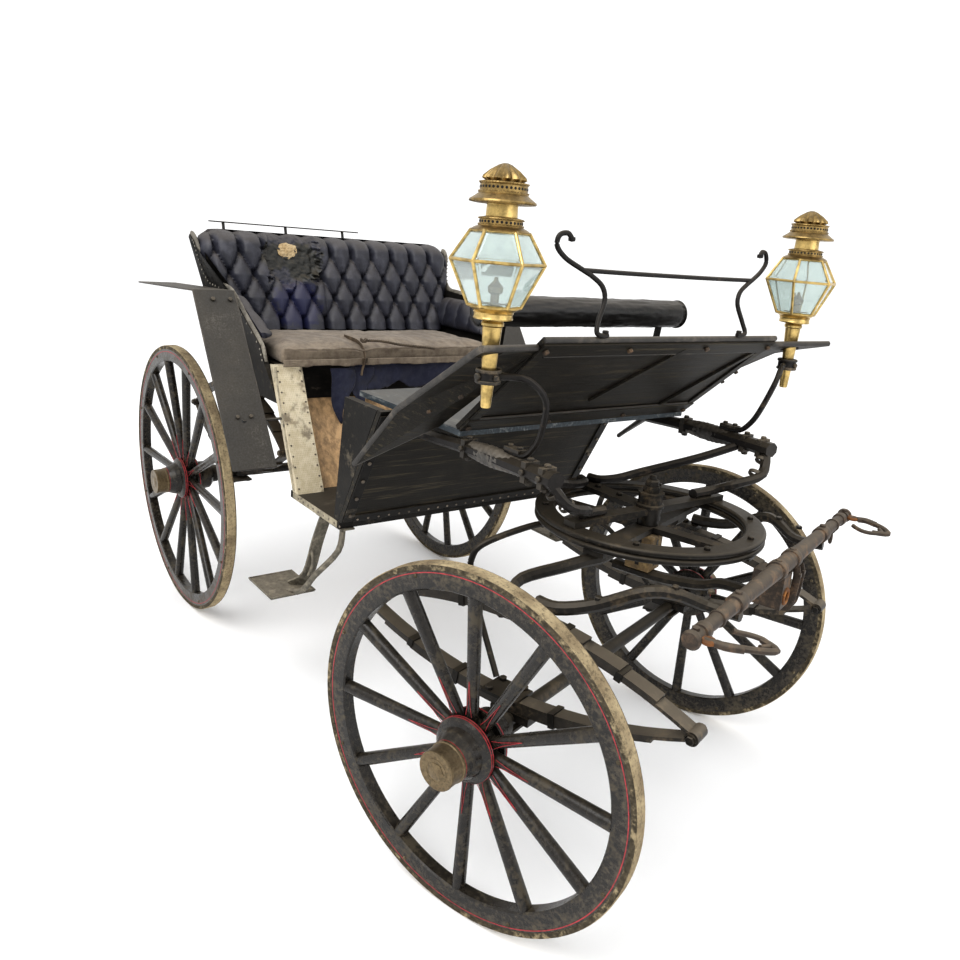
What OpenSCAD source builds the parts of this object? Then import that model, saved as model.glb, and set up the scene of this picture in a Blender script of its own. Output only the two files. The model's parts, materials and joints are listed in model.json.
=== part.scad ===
// Four-wheeled horse-drawn carriage: an open body with a deep foot well,
// carried on elliptic springs, with a fore-carriage that steers on a kingpin.
// Frame: +X forward, +Y to the carriage's left, +Z up, in millimetres.
// The origin lies on the ground below the middle of the carriage.

/* [Running gear] */
// Distance between the front and rear axle centres
wheelbase = 1900; // [1650:10:2300]
// Distance between the wheel centre planes at hub height
track = 1370; // [1300:10:1660]
// Front wheel diameter over the tyre
front_wheel_d = 940; // [780:5:1130]
// Rear wheel diameter over the tyre
rear_wheel_d = 1130; // [960:5:1200]
// Spokes in each front wheel
front_spokes = 12; // [8:2:16]
// Spokes in each rear wheel
rear_spokes = 14; // [8:2:18]
// Outward lean of the wheel tops, degrees
camber = 2.5; // [0:0.5:4]
// Width of tyre and felloe
tyre_w = 38; // [28:1:50]
// Radial thickness of the tyre
tyre_t = 15; // [8:1:22]
// Radial depth of the felloe
felloe_t = 50; // [38:1:60]
// Diameter of a spoke at the felloe
spoke_d = 36; // [26:1:42]
// Diameter of the axle arms inside the hubs
arm_d = 38; // [28:1:46]
// Running clearance between axle arm and hub, on the radius
arm_fit = 0.06; // [0.02:0.01:0.1]

/* [Fore-carriage] */
// Angle the fore-carriage is turned to the left, degrees
steer_angle = 16; // [-30:1:30]
// Distance from the kingpin back to the front axle
axle_trail = 85; // [0:5:120]
// Outer radius of the turntable rings
ring_r = 320; // [280:5:360]
// Distance between the two front springs
front_spring_gap = 968; // [900:4:1010]
// Overall height of a front elliptic spring
front_spring_h = 280; // [230:5:340]
// Length of a front elliptic spring between its eyes
front_spring_len = 1030; // [900:10:1150]
// Length of the splinter bar
splinter_len = 1160; // [1000:10:1300]
// Diameter of the kingpin
kingpin_d = 26; // [20:1:34]
// Bore of the pole socket
pole_bore = 32; // [20:1:40]

/* [Body] */
// Width of the body over the floor
body_w = 1050; // [940:10:1120]
// Outward lean of the seat sides, degrees
side_lean = 11; // [0:1:14]
// Length of the doorway between seat pillar and front panel
doorway_len = 340; // [280:10:400]
// Thickness of the body's boards
board_t = 20; // [12:1:26]
// Height of the seat back above the seat board
back_h = 450; // [380:5:520]
// Thickness of the seat cushion
cushion_t = 90; // [60:2:120]
// Thickness of the padding on the seat back
padding_t = 95; // [70:1:120]
// Width of a mudguard
mudguard_w = 160; // [120:2:180]

/* [Dash and lamps] */
// Width of the dash between its folds
dash_w = 950; // [860:10:1000]
// Distance between the lamp centres
lamp_gap = 1220; // [1160:10:1260]
// Width of a lamp's glass across its corners
lamp_d = 218; // [180:2:240]
// Height of the rein rail above the dash
rein_rail_h = 150; // [110:5:200]
// Diameter of the padded backrest roll
roll_d = 86; // [60:2:110]

/* [Hidden] */

// Gap left between parts of one body that lie against a curved face
seat_gap = 0.2;
// Gap between the two sliding turntable rings
ring_gap = 0.4;

// Stations along the carriage
front_axle_x = wheelbase / 2 - 100;
rear_axle_x = front_axle_x - wheelbase;
kingpin_x = front_axle_x + axle_trail;
door_front_x = kingpin_x - 885;
door_rear_x = door_front_x - doorway_len;
seat_front_x = door_rear_x - 200;

// Heights
front_axle_z = wheel_height(front_wheel_d);
rear_axle_z = wheel_height(rear_wheel_d);
axle_t = 40;
front_spring_z = front_axle_z + axle_t / 2 + 2;
bed_h = 158;
pad_t = 14;
boss_h = 150;
transom_t = 18;
wall_t = 23;
floor_t = 25;
bed_t = 16;
ring_z = front_spring_z + front_spring_h + bed_h;
ring_t = 18;
floor_z = ring_z - 225;
seat_box_z = ring_z + 70;
seat_z = seat_box_z + 140;
driver_z = ring_z + 205;
arm_z = driver_z - 24;
driver_board_t = 18;
dash_low_z = driver_z + driver_board_t + seat_gap;
dash_low_x = kingpin_x - 315;
dash_rise = 290;
dash_run = 325;
rear_iron_t = 25;
rear_spring_z = rear_axle_z + axle_t / 2 + 2;
rear_spring_h = seat_box_z - rear_iron_t - rear_spring_z;
rear_spring_gap = body_w - 170;
rear_spring_len = 1000;

// The hub of a wheel, measured along the axle arm from the felloe's middle plane
hub_dish = 18;
hub_back = 100;
hub_front = 88;
cap_len = 46;
cap_d = 98;
hub_d = 124;
flange_d = 170;
collar_d = 74;

// The seat back leans back by this angle; the seat's rear edge at seat-box height
back_lean = 16.7;
seat_rear_x = rear_axle_x + 110;
side_y = body_w / 2;

function wheel_height(d) = d / 2 * cos(camber) + tyre_w / 2 * sin(camber);
function lerp(a, b, t) = a + (b - a) * t;
function unit(v) = v / norm(v);

// A smooth curve through the points p, with n steps to each stretch
function curve_at(p, i, t) = let(
    a = p[max(i - 1, 0)], b = p[i], c = p[i + 1], d = p[min(i + 2, len(p) - 1)])
    0.5 * (2 * b + (c - a) * t + (2 * a - 5 * b + 4 * c - d) * t * t
    + (3 * b - a - 3 * c + d) * t * t * t);
function smooth(p, n) = concat(
    [for (i = [0 : len(p) - 2]) for (k = [0 : n - 1]) curve_at(p, i, k / n)],
    [p[len(p) - 1]]);
function tangent(p, i) = unit(p[min(i + 1, len(p) - 1)] - p[max(i - 1, 0)]);
function flip_y(p) = [for (v = p) [v[0], -v[1], v[2]]];
function on_side(side, p) = side > 0 ? p : flip_y(p);

// A forged bar swept along a smooth curve: size and tip are [width, height]
module bar(points, size, tip = undef, up = [0, 0, 1], sides = 8, steps = 4) {
    path = steps > 1 ? smooth(points, steps) : points;
    last = len(path) - 1;
    end = tip == undef ? size : tip;
    grow = 0.5 / cos(180 / sides);
    rings = [for (i = [0 : last]) let(
        t = tangent(path, i), across = unit(cross(up, t)), top = cross(t, across),
        s = lerp(size, end, i / last) * grow)
        for (k = [0 : sides - 1]) let(a = 360 * (k + 0.5) / sides)
        path[i] + across * cos(a) * s[0] + top * sin(a) * s[1]];
    walls = [for (i = [0 : last - 1]) for (k = [0 : sides - 1])
        let(n = (k + 1) % sides, r = i * sides, q = r + sides)
        for (face = [[r + k, q + k, r + n], [r + n, q + k, q + n]]) face];
    caps = [for (k = [1 : sides - 2]) for (face = [
        [0, k, k + 1], [last * sides, last * sides + k + 1, last * sides + k]]) face];
    polyhedron(rings, concat(walls, caps));
}

// A flat board: the outline's points in space, made thick along one direction
module board(outline, thick) {
    n = len(outline);
    far = [for (p = outline) p + thick];
    walls = [for (k = [0 : n - 1]) let(m = (k + 1) % n)
        for (face = [[k, m, n + m], [k, n + m, n + k]]) face];
    caps = [for (k = [1 : n - 2]) for (face = [[0, k + 1, k], [n, n + k, n + k + 1]]) face];
    polyhedron(concat(outline, far), concat(caps, walls));
}

// Outline in the X-Z plane, made thick from y0 to y1
module side_board(outline, y0, y1) {
    translate([0, y1, 0]) rotate([90, 0, 0]) linear_extrude(y1 - y0) polygon(outline);
}

// Places its children on the fore-carriage, whose origin is on the kingpin's axis
module on_forecarriage() {
    translate([kingpin_x, 0, 0]) rotate([0, 0, steer_angle]) children();
}

// Places its children on a wheel's axis: +Z points out through the hub cap
module at_wheel(side, x, z) {
    translate([x, side * track / 2, z]) rotate([-side * (90 + camber), 0, 0]) children();
}

module wheel(diameter, spokes) {
    felloe_r = diameter / 2 - tyre_t - seat_gap;
    inner_r = felloe_r - felloe_t;
    bore_r = arm_d / 2 + arm_fit;
    color("#2b2622") rotate_extrude($fn = 96) polygon([
        [inner_r, 4 - tyre_w / 2], [inner_r + 4, -tyre_w / 2], [felloe_r, -tyre_w / 2],
        [felloe_r, tyre_w / 2], [inner_r + 4, tyre_w / 2], [inner_r, tyre_w / 2 - 4]]);
    color("#2b2622") difference() {
        union() {
            for (k = [0 : spokes - 1]) rotate([0, 0, 360 * k / spokes])
                translate([hub_d / 2 - 14, 0, -hub_dish]) rotate([0, 90 - spoke_rake(inner_r), 0])
                cylinder(h = spoke_len(inner_r), d1 = spoke_d - 6, d2 = spoke_d, $fn = 32);
            translate([0, 0, -hub_dish]) hub_profile();
        }
        translate([0, 0, -hub_dish - hub_back - 1]) cylinder(h = hub_back + hub_front, r = bore_r, $fn = 64);
    }
}

// Spokes run from the hub's dish out to the felloe's middle plane
function spoke_rake(r) = atan(hub_dish / (r - hub_d / 2 + 14));
function spoke_len(r) = (r - hub_d / 2 + 14 + 3) / cos(spoke_rake(r));

module hub_profile() {
    rotate_extrude($fn = 72) polygon([
        [0, -hub_back], [collar_d / 2 + 8, -hub_back], [hub_d / 2 - 4, -hub_back + 12],
        [hub_d / 2, -42], [flange_d / 2 - 8, -40], [flange_d / 2, -34], [flange_d / 2, -22],
        [hub_d / 2 + 6, -20], [hub_d / 2 + 6, 18], [flange_d / 2, 20], [flange_d / 2, 32],
        [flange_d / 2 - 8, 38], [hub_d / 2 + 4, 42], [hub_d / 2, 60], [cap_d / 2 + 2, hub_front],
        [cap_d / 2, hub_front], [cap_d / 2 - 2, hub_front + cap_len - 4],
        [cap_d / 2 - 6, hub_front + cap_len], [0, hub_front + cap_len]]);
}

module tyre(diameter) {
    r = diameter / 2;
    color("#6e675c") rotate_extrude($fn = 120) polygon([
        [r - tyre_t, -tyre_w / 2], [r - 4, -tyre_w / 2], [r, 4 - tyre_w / 2],
        [r, tyre_w / 2 - 4], [r - 4, tyre_w / 2], [r - tyre_t, tyre_w / 2]]);
}

module front_right_wheel() {
    on_forecarriage() at_wheel(-1, -axle_trail, front_axle_z) wheel(front_wheel_d, front_spokes);
}
module front_left_wheel() {
    on_forecarriage() at_wheel(1, -axle_trail, front_axle_z) wheel(front_wheel_d, front_spokes);
}
module rear_right_wheel() { at_wheel(-1, rear_axle_x, rear_axle_z) wheel(rear_wheel_d, rear_spokes); }
module rear_left_wheel() { at_wheel(1, rear_axle_x, rear_axle_z) wheel(rear_wheel_d, rear_spokes); }
module front_right_tyre() {
    on_forecarriage() at_wheel(-1, -axle_trail, front_axle_z) tyre(front_wheel_d);
}
module front_left_tyre() {
    on_forecarriage() at_wheel(1, -axle_trail, front_axle_z) tyre(front_wheel_d);
}
module rear_right_tyre() { at_wheel(-1, rear_axle_x, rear_axle_z) tyre(rear_wheel_d); }
module rear_left_tyre() { at_wheel(1, rear_axle_x, rear_axle_z) tyre(rear_wheel_d); }

// An axle with its two arms; the bed bar runs level, the arms follow the camber
module axle(x, z, spring_gap) {
    collar_y = track / 2 - hub_dish - hub_back - 18;
    color("#3a352f") union() {
        translate([x, collar_y, z]) rotate([90, 0, 0]) cylinder(h = 2 * collar_y, d = axle_t, $fn = 48);
        for (side = [-1, 1]) {
            at_wheel(side, x, z) {
                translate([0, 0, -hub_dish - hub_back - 26])
                    cylinder(h = 23, d = collar_d, $fn = 48);
                translate([0, 0, -hub_dish - hub_back - 26])
                    cylinder(h = 26 + hub_back + hub_front - 8, d = arm_d, $fn = 64);
            }
            translate([x - 60, side * spring_gap / 2 - 26, z])
                cube([120, 52, axle_t / 2 + 2 - seat_gap]);
        }
    }
}

module front_axle() { on_forecarriage() axle(-axle_trail, front_axle_z, front_spring_gap); }
module rear_axle() { axle(rear_axle_x, rear_axle_z, rear_spring_gap); }

// A leaf bent to an arc: half length, rise at the middle, and place of its inner face
module leaf(chord_half, rise, share, inner, thick, width) {
    radius = (chord_half * chord_half + rise * rise) / (2 * rise);
    sweep = 2 * asin(chord_half / radius) * share;
    translate([0, 0, rise - radius]) rotate([90, 0, 0]) rotate([0, 0, 90 - sweep / 2])
        rotate_extrude(angle = sweep, $fn = 180)
        translate([radius + inner, -width / 2]) square([thick, width]);
}

// A full elliptic spring standing on z = 0: two stacks of leaves joined at their eyes
module elliptic_spring(length, height, width = 46) {
    leaf_t = 8;
    stack = 4 * leaf_t;
    eye_d = 34;
    rise = height / 2 - stack;
    for (flip = [0, 1]) translate([0, 0, height / 2]) mirror([0, 0, flip])
        for (k = [0 : 3]) leaf(length / 2, rise, 1 - k * 0.2, k * leaf_t - 0.5, leaf_t + 0.5, width);
    for (end = [-1, 1]) translate([end * length / 2, width / 2 + 4, height / 2])
        rotate([90, 0, 0]) cylinder(h = width + 8, d = eye_d, $fn = 32);
}

module front_springs() {
    color("#5b5347") on_forecarriage() for (side = [-1, 1])
        translate([-axle_trail - 30, side * front_spring_gap / 2, front_spring_z])
        elliptic_spring(front_spring_len, front_spring_h);
}
module rear_springs() {
    color("#4a4238") for (side = [-1, 1])
        translate([rear_axle_x, side * rear_spring_gap / 2, rear_spring_z])
        elliptic_spring(rear_spring_len, rear_spring_h - seat_gap);
}

// Curved irons that carry the lower ring on the tops of the front springs
module spring_horns() {
    top = front_spring_z + front_spring_h;
    y = front_spring_gap / 2;
    under = ring_z - ring_t - ring_gap - bed_t;
    color("#37322c") on_forecarriage() for (side = [-1, 1]) union() {
        translate([-axle_trail - 90, side * y - 25, top + seat_gap]) cube([150, 50, pad_t]);
        bar(on_side(side, [[-axle_trail - 50, y, top + 19], [-axle_trail - 50, y - 50, top + 52],
            [-60, y - 130, top + 86], [-24, ring_r - 20, under - 24],
            [0, ring_r - 60, under - 17.7], [0, 200, under - 17.7]]),
            [34, 26], up = [1, 0, 0]);
    }
}

module ring_plate(z) {
    translate([0, 0, z]) difference() {
        cylinder(h = ring_t, r = ring_r, $fn = 144);
        translate([0, 0, -1]) cylinder(h = ring_t + 2, r = ring_r - 42, $fn = 144);
    }
}

// Bed of the turntable's lower half, with the boss that the kingpin turns in
module lower_turntable() {
    z = ring_z - ring_t - ring_gap;
    bore_r = kingpin_d / 2 + arm_fit;
    color("#34302a") on_forecarriage() difference() {
        union() {
            ring_plate(z);
            translate([-30, -ring_r + 6, z - bed_t]) cube([60, 2 * ring_r - 12, bed_t + 0.5]);
            translate([-ring_r + 6, -22, z - bed_t]) cube([2 * ring_r - 12, 44, bed_t + 0.5]);
            translate([0, 0, ring_z - boss_h]) cylinder(h = boss_h - ring_gap, d = 62, $fn = 48);
        }
        translate([0, 0, ring_z - 200]) cylinder(h = 220, r = bore_r, $fn = 48);
    }
}

module upper_turntable() {
    bore_r = kingpin_d / 2 + seat_gap;
    color("#38332c") translate([kingpin_x, 0, 0]) difference() {
        union() {
            ring_plate(ring_z);
            translate([-22, -ring_r + 6, ring_z + ring_t - 0.5]) cube([44, 2 * ring_r - 12, transom_t + 0.5]);
            translate([-ring_r + 4, -30, ring_z + ring_t - 0.5]) cube([ring_r - 4, 60, 14.5]);
            translate([0, 0, ring_z]) cylinder(h = 75, d = 70, $fn = 48);
        }
        translate([0, 0, ring_z - 1]) cylinder(h = 90, r = bore_r, $fn = 48);
    }
}

module kingpin() {
    color("#5a4d3c") translate([kingpin_x, 0, 0]) {
        translate([0, 0, ring_z - boss_h + 6]) cylinder(h = boss_h - 6 + 75 + 28, d = kingpin_d, $fn = 48);
        translate([0, 0, ring_z + 75 + seat_gap]) difference() {
            cylinder(h = 22, d = 52, $fn = 6);
            translate([0, 0, -1]) cylinder(h = 24, d = kingpin_d - 1, $fn = 48);
        }
    }
}

// Two outer futchells from the spring tops and one middle bar carry the splinter bar
module futchells() {
    top = front_spring_z + front_spring_h + seat_gap + pad_t + 17;
    y = front_spring_gap / 2;
    low = ring_z - boss_h - 15 - seat_gap;
    end = splinter_x - socket_len + 16 - seat_gap;
    color("#3b352e") on_forecarriage() {
        for (side = [-1, 1]) bar(on_side(side, [[-50, y, top + 0.2], [10, y, top + 3], [100, y - 35, ring_z - 95],
            [205, y - 64, ring_z - 36], [265, y - 104, ring_z - 34], [330, futchell_y, splinter_z - 34],
            [splinter_x + 12, futchell_y, splinter_under(futchell_y) - 13.5]]), [34, 34], [26, 26]);
        bar([[-axle_trail, 0, low], [60, 0, low], [180, 0, low + 16], [240, 0, splinter_z - 107],
            [end - 40, 0, splinter_z - 104], [end, 0, splinter_z - 104]], [44, 30], [40, 26]);
    }
}

splinter_x = 400;
splinter_z = ring_z - 20;
splinter_mid_d = 46;
splinter_tip_d = 30;
futchell_y = 340;
socket_len = 84;
// Height of the underside of the tapered splinter bar at a distance from its middle
function splinter_under(y) = splinter_z - lerp(splinter_mid_d, splinter_tip_d, y / splinter_len * 2) / 2;

module splinter_bar() {
    half = splinter_len / 2;
    color("#4a4238") on_forecarriage() for (side = [-1, 1]) union() {
        translate([splinter_x, 0, splinter_z]) rotate([-side * 90, 0, 0])
            cylinder(h = half, d1 = splinter_mid_d, d2 = splinter_tip_d, $fn = 40);
    }
}

module pole_socket() {
    color("#6b5a3f") on_forecarriage() difference() {
        translate([splinter_x - socket_len + 16, -32, splinter_z - 118])
            cube([socket_len, 64, 118 - splinter_mid_d / 2 - seat_gap]);
        translate([splinter_x - socket_len, 0, splinter_z - 86]) rotate([0, 90, 0])
            cylinder(h = socket_len + 40, d = pole_bore, $fn = 48);
    }
}

module trace_hooks() {
    half = splinter_len / 2;
    color("#5d4a38") on_forecarriage() for (side = [-1, 1]) {
        translate([splinter_x, side * (half + seat_gap), splinter_z]) rotate([-side * 90, 0, 0])
            cylinder(h = 20, d = 36, $fn = 32);
        bar(on_side(side, [[splinter_x + 16, half + 8, splinter_z], [splinter_x + 60, half + 8, splinter_z + 4],
            [splinter_x + 120, half - 20, splinter_z + 4], [splinter_x + 150, half - 60, splinter_z],
            [splinter_x + 110, half - 85, splinter_z]]), [14, 14]);
    }
}

// The arm that runs forward from the body, and the stays from it down to the ring
arm_y = body_w / 2 - 62;
module body_arm(side) {
    y = arm_y;
    root_x = wall_x(arm_z) + wall_t + 1;
    tip_x = kingpin_x + 75;
    beam = ring_z + ring_t + transom_t;
    rib = ring_z + ring_t + 14;
    color("#3d3831") {
        bar(on_side(side, [[root_x, y, arm_z - 14], [root_x + 180, y, arm_z - 12],
            [root_x + 400, y - 4, arm_z], [tip_x, y - 14, arm_z]]), [30, 26], [54, 44]);
        bar(on_side(side, [[tip_x - 20, y - 14, arm_z - 10], [tip_x + 10, y - 60, arm_z - 70],
            [tip_x - 14, ring_r - 4, ring_z + 84], [kingpin_x + 14, ring_r - 36, beam + 22],
            [kingpin_x, ring_r - 70, beam + 13.8], [kingpin_x, ring_r - 130, beam + 13.8]]), [30, 26]);
        bar(on_side(side, [[tip_x - 120, y - 22, arm_z - 14], [tip_x - 180, 330, arm_z - 60],
            [tip_x - 270, 170, ring_z + 66], [kingpin_x - ring_r + 106, 90, rib + 18],
            [kingpin_x - ring_r + 84, 34, rib + 12.9], [kingpin_x - ring_r + 46, 18, rib + 12.7]]), [24, 24]);
    }
}
module right_body_arm() { body_arm(-1); }
module left_body_arm() { body_arm(1); }

module rear_body_irons() {
    start = rear_axle_x - 110;
    color("#2f2b26") for (side = [-1, 1])
        translate([start, side * rear_spring_gap / 2 - 24, seat_box_z - rear_iron_t])
        cube([riser_x(seat_box_z) - 2 - start, 48, rear_iron_t - seat_gap]);
}

module floor() {
    color("#3a3630") translate([door_rear_x - 30, -side_y, floor_z - floor_t])
        cube([doorway_len + 40, 2 * side_y, floor_t]);
}

// The pillar at the doorway's rear edge leans back from the floor to the seat
pillar_depth = 46;
pillar_w = 105;
function pillar_x(z) = lerp(door_rear_x + 30, seat_front_x, (z - floor_z) / (seat_z - floor_z));
module pillar(side) {
    outer = side * side_y;
    inner = side * (side_y - pillar_w);
    color("#d9c79a") side_board([[pillar_x(floor_z), floor_z], [pillar_x(floor_z) - pillar_depth, floor_z],
        [pillar_x(seat_z) - pillar_depth, seat_z], [pillar_x(seat_z), seat_z]],
        min(outer, inner), max(outer, inner));
}
module right_pillar() { pillar(-1); }
module left_pillar() { pillar(1); }

// The panel below the driver's board on each side of the body
module front_panel(side) {
    outer = side * side_y;
    inner = side * (side_y - 28);
    color("#3f4447") side_board([[door_front_x - 28, floor_z], [door_front_x, floor_z],
        [wall_x(driver_z) - 2, driver_z], [door_front_x + 10, driver_z]],
        min(outer, inner), max(outer, inner));
}
module right_front_panel() { front_panel(-1); }
module left_front_panel() { front_panel(1); }

// The front wall leans forward from the foot well up to the driver's board
wall_slope = 0.51;
function wall_x(z) = door_front_x + (z - floor_z) * wall_slope;
module front_wall() {
    color("#2a2721") side_board([[wall_x(floor_z) + 1, floor_z], [wall_x(floor_z) + 1 + wall_t, floor_z],
        [wall_x(driver_z) + 1 + wall_t, driver_z], [wall_x(driver_z) + 1, driver_z]], -side_y, side_y);
}

riser_t = 12;
function riser_x(z) = lerp(door_rear_x - 22, seat_front_x - 67, (z - floor_z) / (seat_box_z - floor_z));
module riser_panel() {
    color("#c98d4f") side_board([[riser_x(floor_z), floor_z], [riser_x(floor_z) + riser_t, floor_z],
        [riser_x(seat_box_z) + riser_t, seat_box_z], [riser_x(seat_box_z), seat_box_z]],
        -side_y + pillar_w + 2, side_y - pillar_w - 2);
}

module seat_box() {
    color("#2b2823") translate([seat_rear_x, -side_y + board_t + 5, seat_box_z])
        cube([seat_front_x - 52 - seat_rear_x, 2 * (side_y - board_t - 5), seat_z - seat_box_z]);
}

// Half width of the seat's inside at a height
function side_at(z) = side_y - board_t - 5 + (z - seat_box_z) * tan(side_lean);
function back_x(z) = seat_rear_x - (z - seat_box_z) * tan(back_lean);

module seat_side(side) {
    top = seat_z + back_h;
    outline = [[seat_rear_x - 2, seat_box_z], [pillar_x(seat_box_z) - pillar_depth - 1, seat_box_z],
        [pillar_x(seat_z) - pillar_depth - 1, seat_z], [seat_front_x - 60, seat_z + 70],
        [seat_front_x - 280, seat_z + 245], [back_x(seat_z + 260) + 70, seat_z + 262],
        [back_x(seat_z + 300) + 32, seat_z + 300], [back_x(top - 40) + 26, top - 40],
        [back_x(top) - 4, top - 8], [back_x(top) - 20, top - 20]];
    inner = [for (p = outline) [p[0], side * side_at(p[1]), p[1]]];
    color("#2e2a25") board(side > 0 ? inner : [for (k = [len(inner) - 1 : -1 : 0]) inner[k]],
        [0, side * board_t, 0]);
}
module right_seat_side() { seat_side(-1); }
module left_seat_side() { seat_side(1); }

module seat_back_panel() {
    top = seat_z + back_h - 30;
    w0 = side_at(seat_box_z) - 1;
    w1 = side_at(top) - 1;
    color("#2b2823") board([[back_x(seat_box_z) - 20, -w0, seat_box_z], [back_x(seat_box_z) - 20, w0, seat_box_z],
        [back_x(top) - 20, w1, top], [back_x(top) - 20, -w1, top]], [18, 0, 0]);
}

module seat_back_rail() {
    z = seat_z + back_h + 48;
    low = seat_z + back_h - 90;
    color("#1f1c1a") union() {
        translate([back_x(z) - 33, -540, z]) cube([16, 700, 5]);
        for (y = [-480, -200, 80])
            bar([[back_x(z + 2) - 25, y, z + 2], [back_x(low) - 25, y, low]], [12, 8], steps = 1);
    }
}

module seat_back_padding() {
    low = seat_z + cushion_t - 10;
    top = seat_z + back_h;
    w0 = side_at(low) - 2;
    w1 = side_at(top) - 2;
    color("#33343f") board([[back_x(low) - 1.6, -w0, low], [back_x(low) - 1.6, w0, low],
        [back_x(top) - 1.6, w1, top], [back_x(top) - 1.6, -w1, top]], [padding_t, 0, 0]);
}

module arm_pad(side) {
    inner = 58;
    outline = [[seat_front_x - 66, seat_z + cushion_t + 4], [seat_front_x - 82, seat_z + cushion_t + 30],
        [seat_front_x - 280, seat_z + 236], [back_x(seat_z + 240) + padding_t + 4, seat_z + 240],
        [back_x(seat_z + cushion_t + 4) + padding_t + 4, seat_z + cushion_t + 4]];
    face = [for (p = outline) [p[0], side * (side_at(p[1]) - 0.4), p[1]]];
    color("#3c3d48") board(side > 0 ? [for (k = [len(face) - 1 : -1 : 0]) face[k]] : face, [0, -side * inner, 0]);
}
module right_arm_pad() { arm_pad(-1); }
module left_arm_pad() { arm_pad(1); }

module seat_cushion() {
    x0 = back_x(seat_z) + 40;
    w = side_at(seat_z) - 3;
    color("#9a8a70") translate([x0, -w, seat_z]) cube([seat_front_x + 20 - x0, 2 * w, cushion_t - 10]);
}

module driver_board() {
    color("#596670") translate([door_front_x + 8, -side_y + 55, driver_z])
        cube([dash_low_x - door_front_x, 2 * (side_y - 55), driver_board_t]);
}

// The dash slopes up and forward from the driver's board
module dash_panel() {
    low = [dash_low_x, 0, dash_low_z];
    high = low + [dash_run, 0, dash_rise];
    w = dash_w / 2;
    color("#2d2923") board([low + [0, w, 0], low - [0, w, 0], high - [0, w, 0], high + [0, w, 0]], dash_thick);
}
dash_slope = atan(dash_rise / dash_run);
dash_thick = [-14 * sin(dash_slope), 0, 14 * cos(dash_slope)];

// A wing flares out beside the dash and trails down along the body
module dash_wing(side) {
    w = dash_w / 2 + 0.3;
    y0 = lamp_gap / 2;
    low = [dash_low_x, w, dash_low_z];
    high = [dash_low_x + dash_run - 20, w, dash_low_z + dash_rise - 20];
    points = on_side(side, [high, low + [-85, 0, -10], low + [-370, 108, -195], low + [-110, 128, 35],
        low + [230, 150, 235], high + [70, 222, 10]]);
    stem = [kingpin_x - 25, side * y0, dash_low_z + 230];
    color("#4a4337") difference() {
        board(side > 0 ? points : [for (k = [6 : -1 : 1]) points[k % 6]], dash_thick);
        translate(stem - [0, 0, 140]) cylinder(h = 280, d = 58, $fn = 40);
    }
}
module right_dash_wing() { dash_wing(-1); }
module left_dash_wing() { dash_wing(1); }

module rein_rail() {
    x = dash_low_x + dash_run + 4;
    z = dash_low_z + dash_rise + dash_thick[2] + seat_gap;
    color("#4b4640") {
        for (side = [-1, 1]) bar(on_side(side, [[x - 16, 256, z + 7], [x - 10, 292, z + 7], [x - 8, 306, z + 15], [x - 22, 322, z + 60],
            [x - 58, 318, z + 120], [x - 70, 330, z + rein_rail_h], [x - 62, 370, z + rein_rail_h + 50],
            [x - 74, 408, z + rein_rail_h + 84], [x - 66, 428, z + rein_rail_h + 70]]), [13, 13], up = [1, 0, 0]);
        translate([x - 70, -326, z + rein_rail_h]) rotate([-90, 0, 0]) cylinder(h = 652, d = 12, $fn = 24);
    }
}

backrest_x = kingpin_x - 340;
backrest_z = driver_z + 345;
module backrest_roll() {
    color("#1c1a19") translate([backrest_x, -430, backrest_z]) rotate([-90, 0, 0])
        cylinder(h = 860, d = roll_d, $fn = 48);
}
module backrest_stays() {
    foot = driver_z + driver_board_t;
    color("#2a2724") for (side = [-1, 1]) union() {
        translate([backrest_x - 60, side * 330 - 14, foot]) cube([60, 28, 5]);
        bar(on_side(side, [[backrest_x - 30, 330, foot + 3], [backrest_x - 16, 330, foot + 150],
            [backrest_x, 330, backrest_z - roll_d / 2 - 0.4]]), [10, 22], up = [0, 1, 0], sides = 4);
    }
}

// Radius of a lamp's tapering stem, at a height measured from lamp_z
stem_low = -118;
function stem_r(z) = lerp(12.5, 24, (z - stem_low) / 204);
lamp_x = kingpin_x - 25;
lamp_z = dash_low_z + 250;
module lamp(side) {
    r = lamp_d / 2;
    color("#b08d3c") translate([lamp_x, side * lamp_gap / 2, lamp_z]) rotate_extrude($fn = 64) polygon([
        [0, stem_low], [stem_r(stem_low), stem_low], [stem_r(86), 86], [28, 90], [46, 92], [50, 108],
        [r * 0.56, 118], [r * 0.56, 121], [0, 121]]);
    color("#b08d3c") translate([lamp_x, side * lamp_gap / 2, lamp_z]) rotate_extrude($fn = 64) polygon([
        [0, 289], [r * 0.62, 289], [r * 0.62, 292], [50, 296], [50, 314], [36, 318], [36, 350], [76, 358],
        [76, 362], [55, 372], [55, 396], [14, 434], [0, 438]]);
}
module right_lamp() { lamp(-1); }
module left_lamp() { lamp(1); }

module lamp_glass() {
    r = lamp_d / 2;
    color("#bcd6cf") for (side = [-1, 1]) translate([lamp_x, side * lamp_gap / 2, lamp_z]) rotate([0, 0, 30])
        rotate_extrude($fn = 6) polygon([[r * 0.52, 121.2], [r * 0.56, 121.2], [r, 222], [r * 0.62, 288.8],
        [r * 0.58, 288.8], [r - 6, 222]]);
}

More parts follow.
